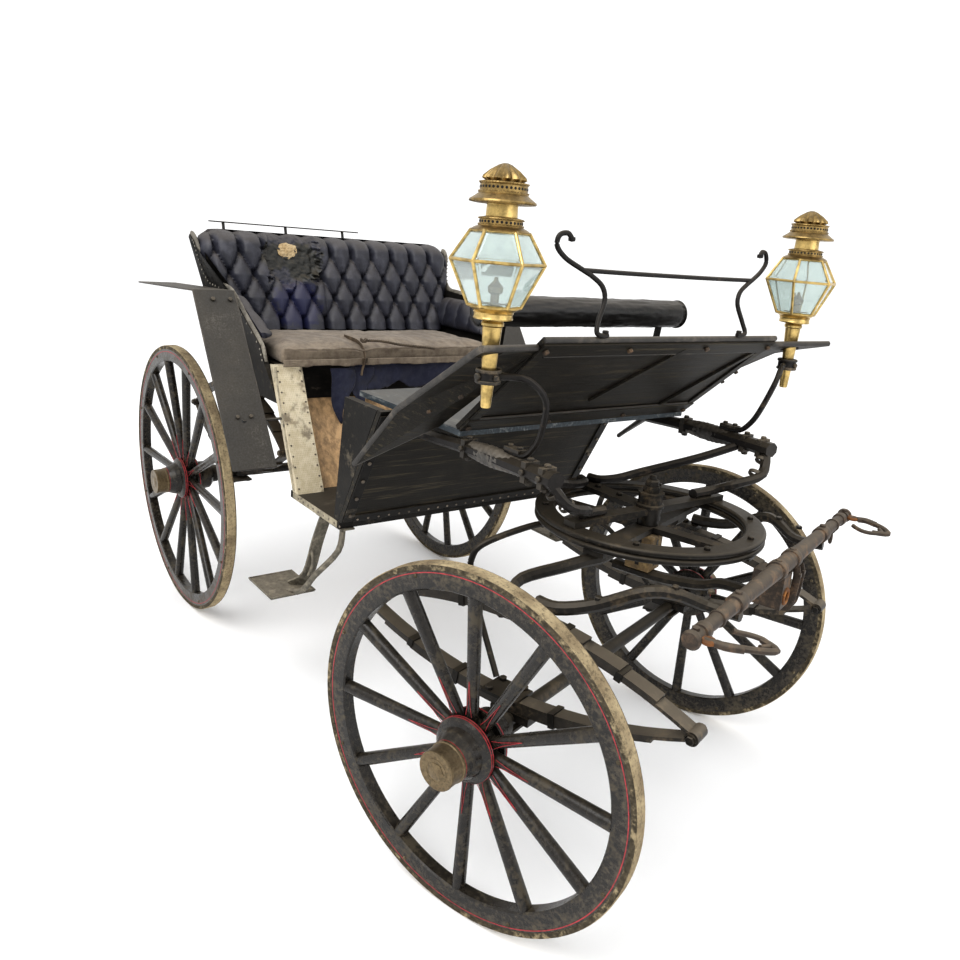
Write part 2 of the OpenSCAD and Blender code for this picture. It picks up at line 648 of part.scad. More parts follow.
module lamp_brackets() {
    y = arm_y - 13;
    color("#4a443c") for (side = [-1, 1]) {
        translate([lamp_x, side * lamp_gap / 2, lamp_z - 60]) difference() {
            cylinder(h = 34, d = 56, $fn = 40);
            translate([0, 0, -1]) cylinder(h = 36, r = stem_r(-26) + seat_gap, $fn = 40);
        }
        bar(on_side(side, [[lamp_x + 4, lamp_gap / 2 - 25, lamp_z - 44], [lamp_x + 40, lamp_gap / 2 - 90, lamp_z - 48],
            [lamp_x + 56, y + 20, lamp_z - 100], [lamp_x + 30, y + 2, lamp_z - 190], [lamp_x + 4, y, arm_z + 60],
            [lamp_x - 24, y, arm_z + 36], [lamp_x - 60, y, arm_z + 30.4], [lamp_x - 100, y, arm_z + 30.4]]),
            [16, 16], up = [0, 1, 0.2]);
    }
}

// A mudguard: a sloping panel in front of the rear wheel and a level top over it
module mudguard(side) {
    y0 = side_at(seat_z + 250) + board_t + 1.5;
    x = rear_axle_x;
    bend = [x + 338, seat_z + 250];
    low = [x + 760, seat_z - 330];
    outline = [low, bend, [x - 350, seat_z + 215], [x - 350, seat_z + 219], bend + [-2, 5], low + [4, 2]];
    stay_z = seat_box_z - 45;
    stay_x = pillar_x(stay_z) - 30;
    color("#454649") union() {
        side_board(outline, side > 0 ? y0 : -y0 - mudguard_w, side > 0 ? y0 + mudguard_w : -y0);
        bar(on_side(side, [[stay_x, side_y + seat_gap, stay_z], [stay_x, y0 + 40, stay_z],
            [lerp(low[0], bend[0], 0.26) + 1, y0 + 90, lerp(low[1], bend[1], 0.26)]]), [24, 8], steps = 1);
    }
}
module right_mudguard() { mudguard(-1); }
module left_mudguard() { mudguard(1); }

module step(side) {
    x = door_front_x - 260;
    y = side_y + 40;
    z = floor_z - 275;
    under = floor_z - floor_t - seat_gap;
    color("#6f6a5e") union() {
        translate([x, side > 0 ? y : -y - 160, z]) cube([190, 160, 6]);
        translate([door_front_x - 170, side * (side_y - 30) - 25, under - 6]) cube([190, 50, 6]);
        bar(on_side(side, [[door_front_x - 130, side_y - 20, under - 8], [door_front_x - 140, side_y, under - 90],
            [x + 150, y + 10, z + 50], [x + 110, y + 50, z + 3]]), [44, 8], up = [1, 0, 0], sides = 4);
        bar(on_side(side, [[door_front_x, side_y - 20, under - 7], [door_front_x + 30, side_y + 10, under - 70],
            [door_front_x - 10, y + 30, z + 90], [x + 210, y + 60, z + 22], [x + 150, y + 80, z + 3]]), [20, 20]);
    }
}
module right_step() { step(-1); }
module left_step() { step(1); }

front_right_wheel();
front_right_tyre();
front_left_wheel();
front_left_tyre();
rear_right_wheel();
rear_right_tyre();
rear_left_wheel();
rear_left_tyre();
front_axle();
front_springs();
spring_horns();
lower_turntable();
futchells();
splinter_bar();
pole_socket();
trace_hooks();
kingpin();
upper_turntable();
right_body_arm();
left_body_arm();
rear_axle();
rear_springs();
rear_body_irons();
floor();
right_pillar();
left_pillar();
right_front_panel();
left_front_panel();
front_wall();
riser_panel();
seat_box();
right_seat_side();
left_seat_side();
seat_back_panel();
seat_back_rail();
seat_back_padding();
right_arm_pad();
left_arm_pad();
seat_cushion();
driver_board();
dash_panel();
right_dash_wing();
left_dash_wing();
rein_rail();
backrest_roll();
backrest_stays();
right_lamp();
left_lamp();
lamp_glass();
lamp_brackets();
right_mudguard();
left_mudguard();
right_step();
left_step();
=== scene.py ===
# %% [markdown]
# This lesson dresses a four-wheeled horse-drawn carriage. The hard parts, such as wheels,
# springs, irons and boards, come in already made to size. The lesson gives each of them a
# finish, adds the small parts that catch the eye, and makes everything soft from scratch.
# %% Load the carriage
import json
import math

import bmesh
import bpy
from mathutils import Matrix, Vector, noise

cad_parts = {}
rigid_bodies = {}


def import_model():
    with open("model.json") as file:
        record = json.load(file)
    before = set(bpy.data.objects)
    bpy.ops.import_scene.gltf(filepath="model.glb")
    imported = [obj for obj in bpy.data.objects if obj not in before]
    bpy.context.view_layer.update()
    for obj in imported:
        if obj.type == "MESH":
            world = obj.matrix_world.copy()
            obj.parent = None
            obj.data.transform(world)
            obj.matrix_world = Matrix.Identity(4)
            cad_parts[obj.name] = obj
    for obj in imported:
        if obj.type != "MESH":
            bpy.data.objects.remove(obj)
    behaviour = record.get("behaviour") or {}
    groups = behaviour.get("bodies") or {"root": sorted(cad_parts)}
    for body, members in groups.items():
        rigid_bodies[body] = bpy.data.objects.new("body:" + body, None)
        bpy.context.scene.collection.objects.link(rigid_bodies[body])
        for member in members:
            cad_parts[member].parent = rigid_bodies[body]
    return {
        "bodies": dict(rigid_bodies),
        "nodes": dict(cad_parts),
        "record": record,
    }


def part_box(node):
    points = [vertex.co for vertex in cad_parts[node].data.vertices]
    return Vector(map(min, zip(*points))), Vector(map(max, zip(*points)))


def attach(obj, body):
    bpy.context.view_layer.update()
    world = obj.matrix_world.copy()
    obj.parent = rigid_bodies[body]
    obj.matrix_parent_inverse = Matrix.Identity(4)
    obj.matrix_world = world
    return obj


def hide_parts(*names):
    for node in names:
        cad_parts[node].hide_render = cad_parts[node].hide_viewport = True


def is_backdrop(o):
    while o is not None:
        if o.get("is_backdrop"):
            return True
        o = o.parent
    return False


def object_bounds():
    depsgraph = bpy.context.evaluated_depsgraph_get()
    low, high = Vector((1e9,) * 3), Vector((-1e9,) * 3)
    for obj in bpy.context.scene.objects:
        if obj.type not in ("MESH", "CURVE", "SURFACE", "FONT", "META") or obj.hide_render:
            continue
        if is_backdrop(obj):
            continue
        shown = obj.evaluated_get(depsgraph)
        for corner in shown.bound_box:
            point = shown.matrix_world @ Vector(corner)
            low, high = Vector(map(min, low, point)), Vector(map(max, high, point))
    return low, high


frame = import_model()
cad_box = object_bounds()
print("bodies:", ", ".join(frame["bodies"]))

# %% [markdown]
# The camera comes first, because every piece is judged through it. It stands at the height
# of a person's eyes beside the right front wheel, and looks back across the carriage.
# Its matrix is built from a heading, a downward tilt and a slight roll.
# %% Place the camera
EYE = Vector((2.456, -1.821, 1.683))
HEADING, TILT, ROLL = (math.radians(a) for a in (141.17, -13.57, 5.04))


def camera_turn(heading, tilt, roll):
    ahead = Vector((math.cos(heading) * math.cos(tilt), math.sin(heading) * math.cos(tilt), math.sin(tilt)))
    level = Vector((math.sin(heading), -math.cos(heading), 0))
    above = level.cross(ahead)
    right = level * math.cos(roll) + above * math.sin(roll)
    up = above * math.cos(roll) - level * math.sin(roll)
    return Matrix((right, up, -ahead)).transposed()


lens = bpy.data.cameras.new("carriage_camera")
lens.sensor_width = 36
lens.lens = 31.6
lens.shift_x, lens.shift_y = -0.0141, -0.042
camera = bpy.data.objects.new("carriage_camera", lens)
camera.matrix_world = Matrix.Translation(EYE) @ camera_turn(HEADING, TILT, ROLL).to_4x4()
bpy.context.scene.collection.objects.link(camera)
bpy.context.scene.camera = camera
print("camera stands at", tuple(round(v, 2) for v in EYE))

# %% [markdown]
# Turned, bent and cut parts are all lists of rings joined by faces. One small builder
# collects them, so that forty bolts or a whole lamp frame become a single clean mesh.
# It works in a local frame, which lets the same code serve all four leaning wheels.
# %% The shape builder
def curve(points, steps=6):
    """A smooth path through the points."""
    points = [Vector(p) for p in points]
    path = []
    for i in range(len(points) - 1):
        a, b, c, d = (points[min(max(k, 0), len(points) - 1)] for k in (i - 1, i, i + 1, i + 2))
        for k in range(steps):
            t = k / steps
            path.append((b * 2 + (c - a) * t + (a * 2 - b * 5 + c * 4 - d) * t * t
                         + (b * 3 - a - c * 3 + d) * t ** 3) / 2)
    return path + [points[-1]]


def circle(radius, z=0.0, count=32, start=0.0):
    """Points round a level circle, counted anticlockwise."""
    return [Vector((radius * math.cos(a), radius * math.sin(a), z))
            for a in (start + 2 * math.pi * k / count for k in range(count))]


def mirrored(points, side):
    """The same points on the right (-1) or on the left (1)."""
    return [(x, side * y, z) for x, y, z in points]


class Shape:
    """Rings, tubes, turned forms and blocks, collected into one mesh."""

    def __init__(self, place=Matrix()):
        self.place, self.points, self.faces = place, [], []

    def add(self, points, faces):
        start = len(self.points)
        self.points += [self.place @ Vector(p) for p in points]
        self.faces += [[start + k for k in face] for face in faces]

    def skin(self, rings, closed=False, round_=True, caps=True):
        n = len(rings[0])
        faces = []
        for i in range(len(rings) - (not closed)):
            far = (i + 1) % len(rings) * n
            for k in range(n - (not round_)):
                m = (k + 1) % n
                faces.append([i * n + k, i * n + m, far + m, far + k])
        if caps and not closed:
            last = (len(rings) - 1) * n
            faces += [list(range(n - 1, -1, -1)), [last + k for k in range(n)]]
        self.add([p for ring in rings for p in ring], faces)

    def tube(self, path, radius, sides=10, flat=1.0, up=(0, 0, 1), closed=False):
        path = [Vector(p) for p in path]
        last = len(path) - 1
        rings = []
        for i, p in enumerate(path):
            behind = path[i - 1] if closed or i else p
            ahead = path[(i + 1) % len(path)] if closed or i < last else p
            t = (ahead - behind).normalized()
            across = Vector(up).cross(t).normalized()
            top = t.cross(across)
            r = radius(i / last) if callable(radius) else radius
            rings.append([p + across * r * math.cos(a) + top * r * flat * math.sin(a)
                          for a in (2 * math.pi * (k + 0.5) / sides for k in range(sides))])
        self.skin(rings, closed, caps=not closed)

    def turned(self, profile, at=(0, 0, 0), axis=(0, 0, 1), sides=40):
        turn = Vector((0, 0, 1)).rotation_difference(Vector(axis)).to_matrix()
        self.skin([[Vector(at) + turn @ p for p in circle(r, z, sides)] for r, z in profile], caps=False)

    def bolt(self, at, axis, size=0.009, sides=6):
        self.turned([(0, 0), (size, 0), (size, size * 0.7), (size * 0.8, size * 0.9), (0, size * 0.95)], at,
                    axis, sides)

    def stud(self, at, axis, size=0.005):
        self.turned([(0, -0.001), (size, 0), (size * 0.75, size * 0.45), (0, size * 0.65)], at, axis, 8)

    def block(self, middle, along, up, size):
        """A box around middle: size is its length along, its width, and its height up."""
        x = Vector(along).normalized()
        y = Vector(up).cross(x).normalized()
        z = x.cross(y)
        half = [s / 2 for s in size]
        corner = lambda a, b, c: Vector(middle) + x * a * half[0] + y * b * half[1] + z * c * half[2]
        self.skin([[corner(a, -1, -1), corner(a, 1, -1), corner(a, 1, 1), corner(a, -1, 1)] for a in (-1, 1)])

    def mesh(self, name, weld=0.00002):
        made = bpy.data.meshes.new(name)
        made.from_pydata(self.points, [], self.faces)
        work = bmesh.new()
        work.from_mesh(made)
        bmesh.ops.remove_doubles(work, verts=work.verts, dist=weld)
        bmesh.ops.recalc_face_normals(work, faces=work.faces)
        work.to_mesh(made)
        work.free()
        return made

    def piece(self, name, finish, slot, body="carriage_body", bevel=0.0, crease=38, replaces=()):
        """Makes an object of the shape and hands it to the body that carries it."""
        mesh = self.mesh(name)
        mesh.shade_smooth()
        mesh.set_sharp_from_angle(angle=math.radians(crease))
        made = bpy.data.objects.new(name, mesh)
        bpy.context.scene.collection.objects.link(made)
        made.data.materials.append(FINISHES[finish])
        if bevel:
            edge = made.modifiers.new("edge", "BEVEL")
            edge.width, edge.segments, edge.limit_method = bevel, 2, "ANGLE"
        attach(made, body)
        if replaces:
            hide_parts(*replaces)
        return made


print("shape builder ready")

# %% [markdown]
# Old paint, rust and dust are sums and products of a few noises. Writing them as plain
# arithmetic keeps them readable: the class below wraps a socket so that 1 - mask works.
# %% Arithmetic on shader sockets
class Value:
    """A node's output that can be added, scaled and compared."""

    def __init__(self, finish, socket):
        self.finish, self.socket = finish, socket

    def math(self, operation, a, b=0.0):
        return self.finish.node("ShaderNodeMath", {"operation": operation}, {0: a, 1: b})

    def __add__(self, other): return self.math("ADD", self, other)
    def __sub__(self, other): return self.math("SUBTRACT", self, other)
    def __rsub__(self, other): return self.math("SUBTRACT", other, self)
    def __mul__(self, other): return self.math("MULTIPLY", self, other)
    def __truediv__(self, other): return self.math("DIVIDE", self, other)
    __radd__, __rmul__ = __add__, __mul__

    def sine(self):
        return self.math("SINE", self)

    def step(self, low, high):
        """0 below low, 1 above high, smooth between."""
        return self.finish.node("ShaderNodeMapRange", {"interpolation_type": "SMOOTHSTEP"},
                                {0: self, 1: low, 2: high})


class Finish:
    """A material whose patterns are written as expressions."""

    def __init__(self, name, roughness=0.6, metallic=0.0, **fixed):
        self.material = bpy.data.materials.new(name)
        self.material.use_nodes = True
        self.tree = self.material.node_tree
        self.shader = self.tree.nodes["Principled BSDF"]
        self.set("Roughness", roughness)
        self.set("Metallic", metallic)
        for key, value in fixed.items():
            self.set(key.replace("_", " "), value)
        self.where = self.node("ShaderNodeTexCoord", output="Object")

    def node(self, kind, settings=None, inputs=None, output=0):
        made = self.tree.nodes.new(kind)
        for key, value in (settings or {}).items():
            if key == "stops":
                for k, (place, colour) in enumerate(value):
                    stop = made.color_ramp.elements[k] if k < 2 else made.color_ramp.elements.new(place)
                    stop.position, stop.color = place, (*colour, 1)
            else:
                setattr(made, key, value)
        for key, value in (inputs or {}).items():
            self.join(made.inputs[key], value)
        return Value(self, made.outputs[output])

    def join(self, socket, value):
        if isinstance(value, Value):
            self.tree.links.new(value.socket, socket)
        else:
            socket.default_value = value

    def set(self, socket, value):
        self.join(self.shader.inputs[socket], value)

    def noise(self, scale, detail=4, stretch=(1, 1, 1), rough=0.6):
        spot = self.where
        if stretch != (1, 1, 1):
            spot = self.node("ShaderNodeMapping", {}, {"Vector": spot, "Scale": stretch})
        return self.node("ShaderNodeTexNoise", {}, {"Vector": spot, "Scale": scale, "Detail": detail,
                                                    "Roughness": rough})

    def upward(self):
        """1 where the surface faces the sky."""
        normal = self.node("ShaderNodeNewGeometry", output="Normal")
        return self.node("ShaderNodeSeparateXYZ", {}, {0: normal}, "Z").step(0.15, 0.95)

    def away(self, point):
        """Distance from a point, in metres."""
        return self.node("ShaderNodeVectorMath", {"operation": "DISTANCE"}, {0: self.where, 1: point}, 1)

    def part(self, axis):
        return self.node("ShaderNodeSeparateXYZ", {}, {0: self.where}, axis)

    def mix(self, mask, a, b):
        a, b = (c if isinstance(c, Value) else (*c, 1) for c in (a, b))
        return self.node("ShaderNodeMix", {"data_type": "RGBA"}, {0: mask, 6: a, 7: b}, 2)

    def bump(self, height, distance=0.001, strength=1.0):
        self.set("Normal", self.node("ShaderNodeBump", {}, {"Height": height, "Distance": distance,
                                                            "Strength": strength}))


print("shader arithmetic ready")

# %% [markdown]
# The carriage stood in a barn for decades, so its irons and boards share one story:
# a dark ground, brighter worn spots, and pale dust on whatever faces up. One recipe with
# different colours, grain directions and amounts makes every hard finish.
# %% Worn paint, rust and dust
DUST = (0.27, 0.225, 0.165)


def worn(name, ground, spots, roughness=0.6, metallic=0.0, dust=0.3, wear=0.5, grain=(1, 1, 1),
         size=9, fine=60, depth=0.0008, dust_colour=DUST, **fixed):
    f = Finish(name, metallic=metallic, **fixed)
    broad = f.noise(size, 5, grain)
    small = f.noise(fine, 4, grain, 0.7)
    worn_mask = (broad * 0.6 + small * 0.4).step(0.62 - 0.2 * wear, 0.72 - 0.1 * wear)
    dust_mask = f.upward() * dust * (0.5 + broad) + f.noise(size * 0.4).step(0.5, 0.8) * dust * 0.35
    dark = tuple(c * 0.45 for c in ground)
    colour = f.mix(small.step(0.3, 0.7), dark, ground)
    colour = f.mix(worn_mask * 0.85, colour, spots)
    f.set("Base Color", f.mix(dust_mask, colour, dust_colour))
    f.set("Roughness", roughness + worn_mask * 0.12 + dust_mask * 0.3 + (small - 0.5) * 0.25)
    f.bump(broad * 0.5 + small * 0.5, depth)
    return f.material


FINISHES = {
    "dusty_iron": worn("dusty iron", (0.016, 0.0135, 0.0105), (0.09, 0.066, 0.04), 0.42, 0.3, 0.2, 0.45,
                       Specular_IOR_Level=0.3),
    "spring_iron": worn("dusty spring steel", (0.03, 0.024, 0.017), (0.16, 0.12, 0.075), 0.5, 0.2, 0.42, 0.5),
    "rusty_iron": worn("rusty iron", (0.055, 0.038, 0.026), (0.17, 0.105, 0.06), 0.6, 0.2, 0.25, 0.6,
                       size=22),
    "black_iron": worn("black iron", (0.012, 0.01, 0.009), (0.075, 0.056, 0.036), 0.42, 0.2, 0.16, 0.36,
                       Specular_IOR_Level=0.3),
    "dark_board": worn("weathered dark board", (0.014, 0.0115, 0.008), (0.078, 0.064, 0.04), 0.52, 0, 0.12,
                       0.52,
                       (3, 0.12, 3), 16, 70, 0.0014, Specular_IOR_Level=0.22),
    "body_board": worn("black body board", (0.012, 0.0105, 0.009), (0.105, 0.09, 0.066), 0.55, 0, 0.12, 0.38,
                       (1, 0.4, 1), 12, 60, 0.0012, Specular_IOR_Level=0.22),
    "blue_grey_board": worn("blue grey board", (0.045, 0.06, 0.072), (0.24, 0.25, 0.24), 0.55, 0, 0.25, 0.5,
                            (0.5, 2, 2), 12, 60),
    "light_plywood": worn("light plywood", (0.5, 0.32, 0.16), (0.54, 0.355, 0.19), 0.6, 0, 0.02, 0.5,
                          (1, 1, 0.06), 20, 40, 0.0002),
    "brass": worn("aged lamp brass", (0.66, 0.48, 0.19), (0.36, 0.26, 0.11), 0.32, 0.92, 0.06, 0.18, size=9,
                  fine=40, depth=0.0001, dust_colour=(0.3, 0.24, 0.14)),
    "antique_brass": worn("antique brass", (0.36, 0.25, 0.1), (0.16, 0.11, 0.05), 0.36, 0.9, 0.12, 0.35,
                          size=14,
                          fine=60, depth=0.0002),
    "dark_brass": worn("dull brass", (0.22, 0.155, 0.065), (0.1, 0.07, 0.035), 0.38, 0.85, 0.15, 0.5, size=40,
                       fine=160, depth=0.0003),
    "hub_brass": worn("hub cap brass", (0.2, 0.15, 0.085), (0.1, 0.07, 0.04), 0.36, 0.75, 0.15, 0.55, size=35,
                      fine=120, depth=0.0004),
    "mudguard_leather": worn("mudguard leather", (0.034, 0.036, 0.038), (0.095, 0.092, 0.085), 0.55, 0, 0.22,
                             0.35,
                             (1, 1, 1), 6, 160, 0.0006, Specular_IOR_Level=0.25),
    "tread_plate": worn("step plate", (0.15, 0.135, 0.105), (0.27, 0.24, 0.185), 0.65, 0.15, 0.3, 0.6,
                        size=25),
    "orange_rust": worn("orange rust", (0.2, 0.075, 0.018), (0.36, 0.16, 0.045), 0.8, 0.1, 0.1, 0.7, size=40),
    "ochre_wood": worn("ochre wood block", (0.17, 0.11, 0.045), (0.28, 0.2, 0.09), 0.7, 0, 0.2, 0.6, size=26),
    "chipped_cream": worn("chipped cream paint", (0.4, 0.35, 0.25), (0.022, 0.02, 0.018), 0.65, 0, 0.1, 0.62,
                          size=24),
    "tyre_crust": worn("crusted tyre side", (0.085, 0.07, 0.048), (0.34, 0.275, 0.17), 0.85, 0, 0.2, 0.62,
                       size=26,
                       fine=90, depth=0.003, Specular_IOR_Level=0.15),
    "red_line": worn("red lining paint", (0.4, 0.03, 0.04), (0.1, 0.02, 0.02), 0.5, 0, 0.05, 0.38, size=40),
}
print(len(FINISHES), "worn finishes")

# %% [markdown]
# Wheels need a finish of their own: the paint is nearly black at the hub and in the corners,
# scuffed to brown wood along the spokes, and caked with dry earth near the rim. The mask for
# the earth is the distance from the hub, so each wheel gets its own copy of the recipe.
# %% Wheel paint and tyre finishes
def wheel_paint(name, hub, radius):
    f = Finish(name, Specular_IOR_Level=0.35)
    away = f.away(hub) / radius
    broad, small = f.noise(14, 5), f.noise(70, 4, rough=0.7)
    scuffed = (broad * 0.55 + small * 0.45).step(0.49, 0.62)
    earth = (away + (small - 0.5) * 0.45).step(0.86, 1.1) * 0.4 + f.upward() * 0.07
    colour = f.mix(small.step(0.3, 0.7), (0.008, 0.007, 0.006), (0.02, 0.017, 0.014))
    colour = f.mix(scuffed * 0.75, colour, (0.062, 0.05, 0.032))
    f.set("Base Color", f.mix(earth, colour, (0.16, 0.13, 0.09)))
    f.set("Roughness", 0.26 + scuffed * 0.22 + earth * 0.4 + (broad - 0.5) * 0.2)
    f.bump(broad * 0.3 + small * 0.7, 0.0012)
    return f.material


def tyre_rubber(name, hub, radius):
    f = Finish(name, Specular_IOR_Level=0.2)
    away = f.away(hub) / radius
    broad, small = f.noise(11, 5), f.noise(110, 5, rough=0.75)
    mud = (away + (broad - 0.5) * 0.05).step(0.968, 0.995) * (small.step(0.3, 0.56) * 0.65 + 0.35)
    colour = f.mix(small.step(0.35, 0.65), (0.03, 0.026, 0.02), (0.085, 0.07, 0.05))
    crust = f.mix(broad.step(0.35, 0.65), (0.22, 0.17, 0.105), (0.42, 0.34, 0.21))
    f.set("Base Color", f.mix(mud, colour, crust))
    f.set("Roughness", 0.7 + mud * 0.25)
    f.bump(small * 0.7 + broad * 0.3, 0.004)
    return f.material


JOINTS = {j["name"]: j for j in frame["record"]["behaviour"]["joints"]}
WHEELS = {}
for end, radius, spokes in (("front", 0.47, 12), ("rear", 0.565, 14)):
    for side in ("right", "left"):
        low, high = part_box(f"{end}_{side}_tyre")
        hub = (Vector(low) + Vector(high)) / 2
        axis = Vector(JOINTS[f"{end}_{side}_spin"]["axis"]).normalized()
        if axis.y * hub.y < 0:
            axis.negate()
        WHEELS[f"{end}_{side}"] = {"hub": hub, "axis": axis, "radius": radius, "spokes": spokes}
print({name: tuple(round(v, 3) for v in wheel["hub"]) for name, wheel in WHEELS.items()})

# %% [markdown]
# Leather, cloth, canvas and glass each carry a pattern of their own: pores and creases,
# a twill, a coarse grid of threads, and a faint haze. Colour is kept apart from relief,
# because faded leather stays wrinkled where its dye has gone.
# %% Leather, cloth, canvas and glass
def leather(name, ground, faded, roughness=0.42, pores=260, fade=0.5, dust=0.25, patches=()):
    f = Finish(name)
    broad, creases, grain = f.noise(5, 4), f.noise(26, 5, rough=0.65), f.noise(pores, 3)
    worn_mask = (broad * 0.5 + creases * 0.5).step(0.56 - 0.12 * fade, 0.7)
    colour = f.mix(creases.step(0.3, 0.7), tuple(c * 0.55 for c in ground), ground)
    colour = f.mix(worn_mask * fade, colour, faded)
    for middle, size, tint in patches:
        inside = 1 - (f.away(middle) + (creases - 0.5) * size * 1.2).step(size * 0.75, size)
        colour = f.mix(inside * 0.9, colour, tint)
    dust_mask = f.upward() * dust * (broad + 0.3)
    f.set("Base Color", f.mix(dust_mask, colour, DUST))
    f.set("Roughness", roughness + worn_mask * 0.12 + dust_mask * 0.3 + (grain - 0.5) * 0.25)
    f.bump(grain * 0.35 + creases * 0.65, 0.0012)
    return f.material


def woven(name, ground, light, threads=420, stain=(0.1, 0.075, 0.05), stains=0.6, depth=0.0006):
    f = Finish(name, roughness=0.88, Sheen_Weight=0.15, Sheen_Roughness=0.5)
    across = f.part("Y") + f.part("X")
    ribs = (across * (threads * 2)).sine() * 0.5 + 0.5
    rows = ((f.part("Z") - f.part("X") * 0.6) * (threads * 2)).sine() * 0.5 + 0.5
    broad, small = f.noise(6, 5), f.noise(45, 4)
    colour = f.mix((broad * 0.6 + small * 0.4).step(0.38, 0.62), ground, light)
    colour = f.mix((broad * 0.4 + f.noise(17, 5) * 0.6).step(0.52, 0.62) * stains, colour, stain)
    f.set("Base Color", f.mix(ribs * rows * 0.25, colour, tuple(c * 0.6 for c in ground)))
    f.bump(ribs * rows * 0.6 + small * 0.4, depth)
    return f.material


def lamp_pane(name):
    f = Finish(name, 0.04, IOR=1.45, Transmission_Weight=0.86, Coat_Weight=0.3)
    haze = f.noise(9, 3).step(0.45, 0.75)
    f.set("Base Color", f.mix(haze * 0.6, (0.8, 0.875, 0.855), (0.62, 0.7, 0.68)))
    f.set("Roughness", haze * 0.06 + 0.02)
    return f.material


FINISHES.update(
    arm_leather=leather("arm wrap leather", (0.045, 0.04, 0.035), (0.17, 0.15, 0.125), 0.45, 200, 0.7, 0.3),
    strap_leather=leather("old strap leather", (0.085, 0.06, 0.038), (0.19, 0.14, 0.09), 0.6, 260, 0.6, 0.2),
    worn_binding=leather("worn binding", (0.035, 0.031, 0.027), (0.2, 0.17, 0.13), 0.55, 200, 0.5, 0.3),
    pale_iron=worn("bare iron", (0.14, 0.115, 0.09), (0.34, 0.29, 0.23), 0.5, 0.3, 0.3, 0.7, size=40),
    edging=leather("worn welting", (0.16, 0.145, 0.12), (0.36, 0.33, 0.27), 0.6, 220, 0.8, 0.1),
    tufted_leather=leather("tufted leather", (0.026, 0.027, 0.04), (0.085, 0.085, 0.1), 0.5, 300, 0.5, 0.2, [
        ((-0.985, -0.222, 1.315), 0.125, (0.012, 0.014, 0.052)),
        ((-1.02, -0.17, 1.5), 0.1, (0.012, 0.012, 0.008)),
        ((-1.02, -0.3, 1.52), 0.075, (0.014, 0.013, 0.009))]),
    black_leather=leather("black leather", (0.01, 0.0095, 0.0095), (0.035, 0.032, 0.03), 0.38, 240, 0.4, 0.2),
    blue_cloth=woven("faded blue cloth", (0.01, 0.012, 0.034), (0.026, 0.029, 0.055), 700,
                     (0.03, 0.028, 0.028), 0.4),
    seat_cloth=woven("worn seat cloth", (0.135, 0.105, 0.075), (0.235, 0.19, 0.14), 520, (0.07, 0.048, 0.033),
                     0.6),
    cream_canvas=woven("cream canvas", (0.46, 0.39, 0.26), (0.6, 0.53, 0.39), 330, (0.1, 0.075, 0.05), 0.75,
                       0.001),
    straw=woven("stuffing", (0.38, 0.27, 0.14), (0.52, 0.41, 0.25), 200, (0.15, 0.09, 0.05), 0.4, 0.003),
    bevelled_glass=lamp_pane("bevelled glass"))
print(len(FINISHES), "finishes in all")

# %% [markdown]
# The ready-made nodes keep their exact shapes, so they only need the right finish in their
# material slots. One table says which node wears what.
# %% Dress the ready-made parts
WEARS = {
    "dusty_iron": "front_axle rear_axle spring_horns lower_turntable upper_turntable futchells kingpin",
    "spring_iron": "front_springs rear_springs",
    "rusty_iron": "trace_hooks pole_socket splinter_bar",
    "black_iron": "right_body_arm left_body_arm rear_body_irons seat_back_rail backrest_stays "
                  "lamp_brackets rein_rail",
    "dark_board": "dash_panel right_dash_wing left_dash_wing front_wall",
    "body_board": "floor seat_box right_seat_side left_seat_side seat_back_panel "
                  "right_front_panel left_front_panel",
    "blue_grey_board": "driver_board",
    "light_plywood": "riser_panel",
    "cream_canvas": "right_pillar left_pillar",
    "mudguard_leather": "right_mudguard left_mudguard",
    "tread_plate": "right_step left_step",
    "brass": "right_lamp left_lamp",
    "bevelled_glass": "lamp_glass",
    "tufted_leather": "seat_back_padding right_arm_pad left_arm_pad",
    "seat_cloth": "seat_cushion",
    "black_leather": "backrest_roll",
}


def dress(node, finish):
    slots = frame["nodes"][node].data.materials
    if not len(slots):
        slots.append(finish)
    for k in range(len(slots)):
        slots[k] = finish


for finish, names in WEARS.items():
    for node in names.split():
        dress(node, FINISHES[finish])
for name, wheel in WHEELS.items():
    dress(f"{name}_wheel", wheel_paint(f"{name} wheel paint", wheel["hub"], wheel["radius"]))
    dress(f"{name}_tyre", tyre_rubber(f"{name} tyre", wheel["hub"], wheel["radius"]))
print("dressed", len(frame["nodes"]), "nodes")

# %% [markdown]
# Each wheel turns on its own leaning axle, so its small parts are laid out in a frame whose
# Z runs out through the hub cap. The front pair also shares the turn of the fore-carriage.
# The red lining is paint: bands a fraction of a millimetre proud of the wood.
# %% Red lining, rims and hub caps
STEER, KINGPIN_X = math.radians(16), 0.935
FORE = Matrix.Translation((KINGPIN_X, 0, 0)) @ Matrix.Rotation(STEER, 4, "Z")
SPOKE_DISH = 0.018
CAP_FACE = 0.1165


def wheel_place(wheel, name):
    z = wheel["axis"]
    x = Matrix.Rotation(STEER if "front" in name else 0.0, 3, "Z") @ Vector((1, 0, 0))
    turn = Matrix((x, z.cross(x), z)).transposed()
    return Matrix.Translation(wheel["hub"]) @ turn.to_4x4()


def band(shape, r0, r1, z0, z1, sides=96):
    shape.turned([(r0, z0), (r1, z0), (r1, z1), (r0, z1), (r0, z0)], sides=sides)


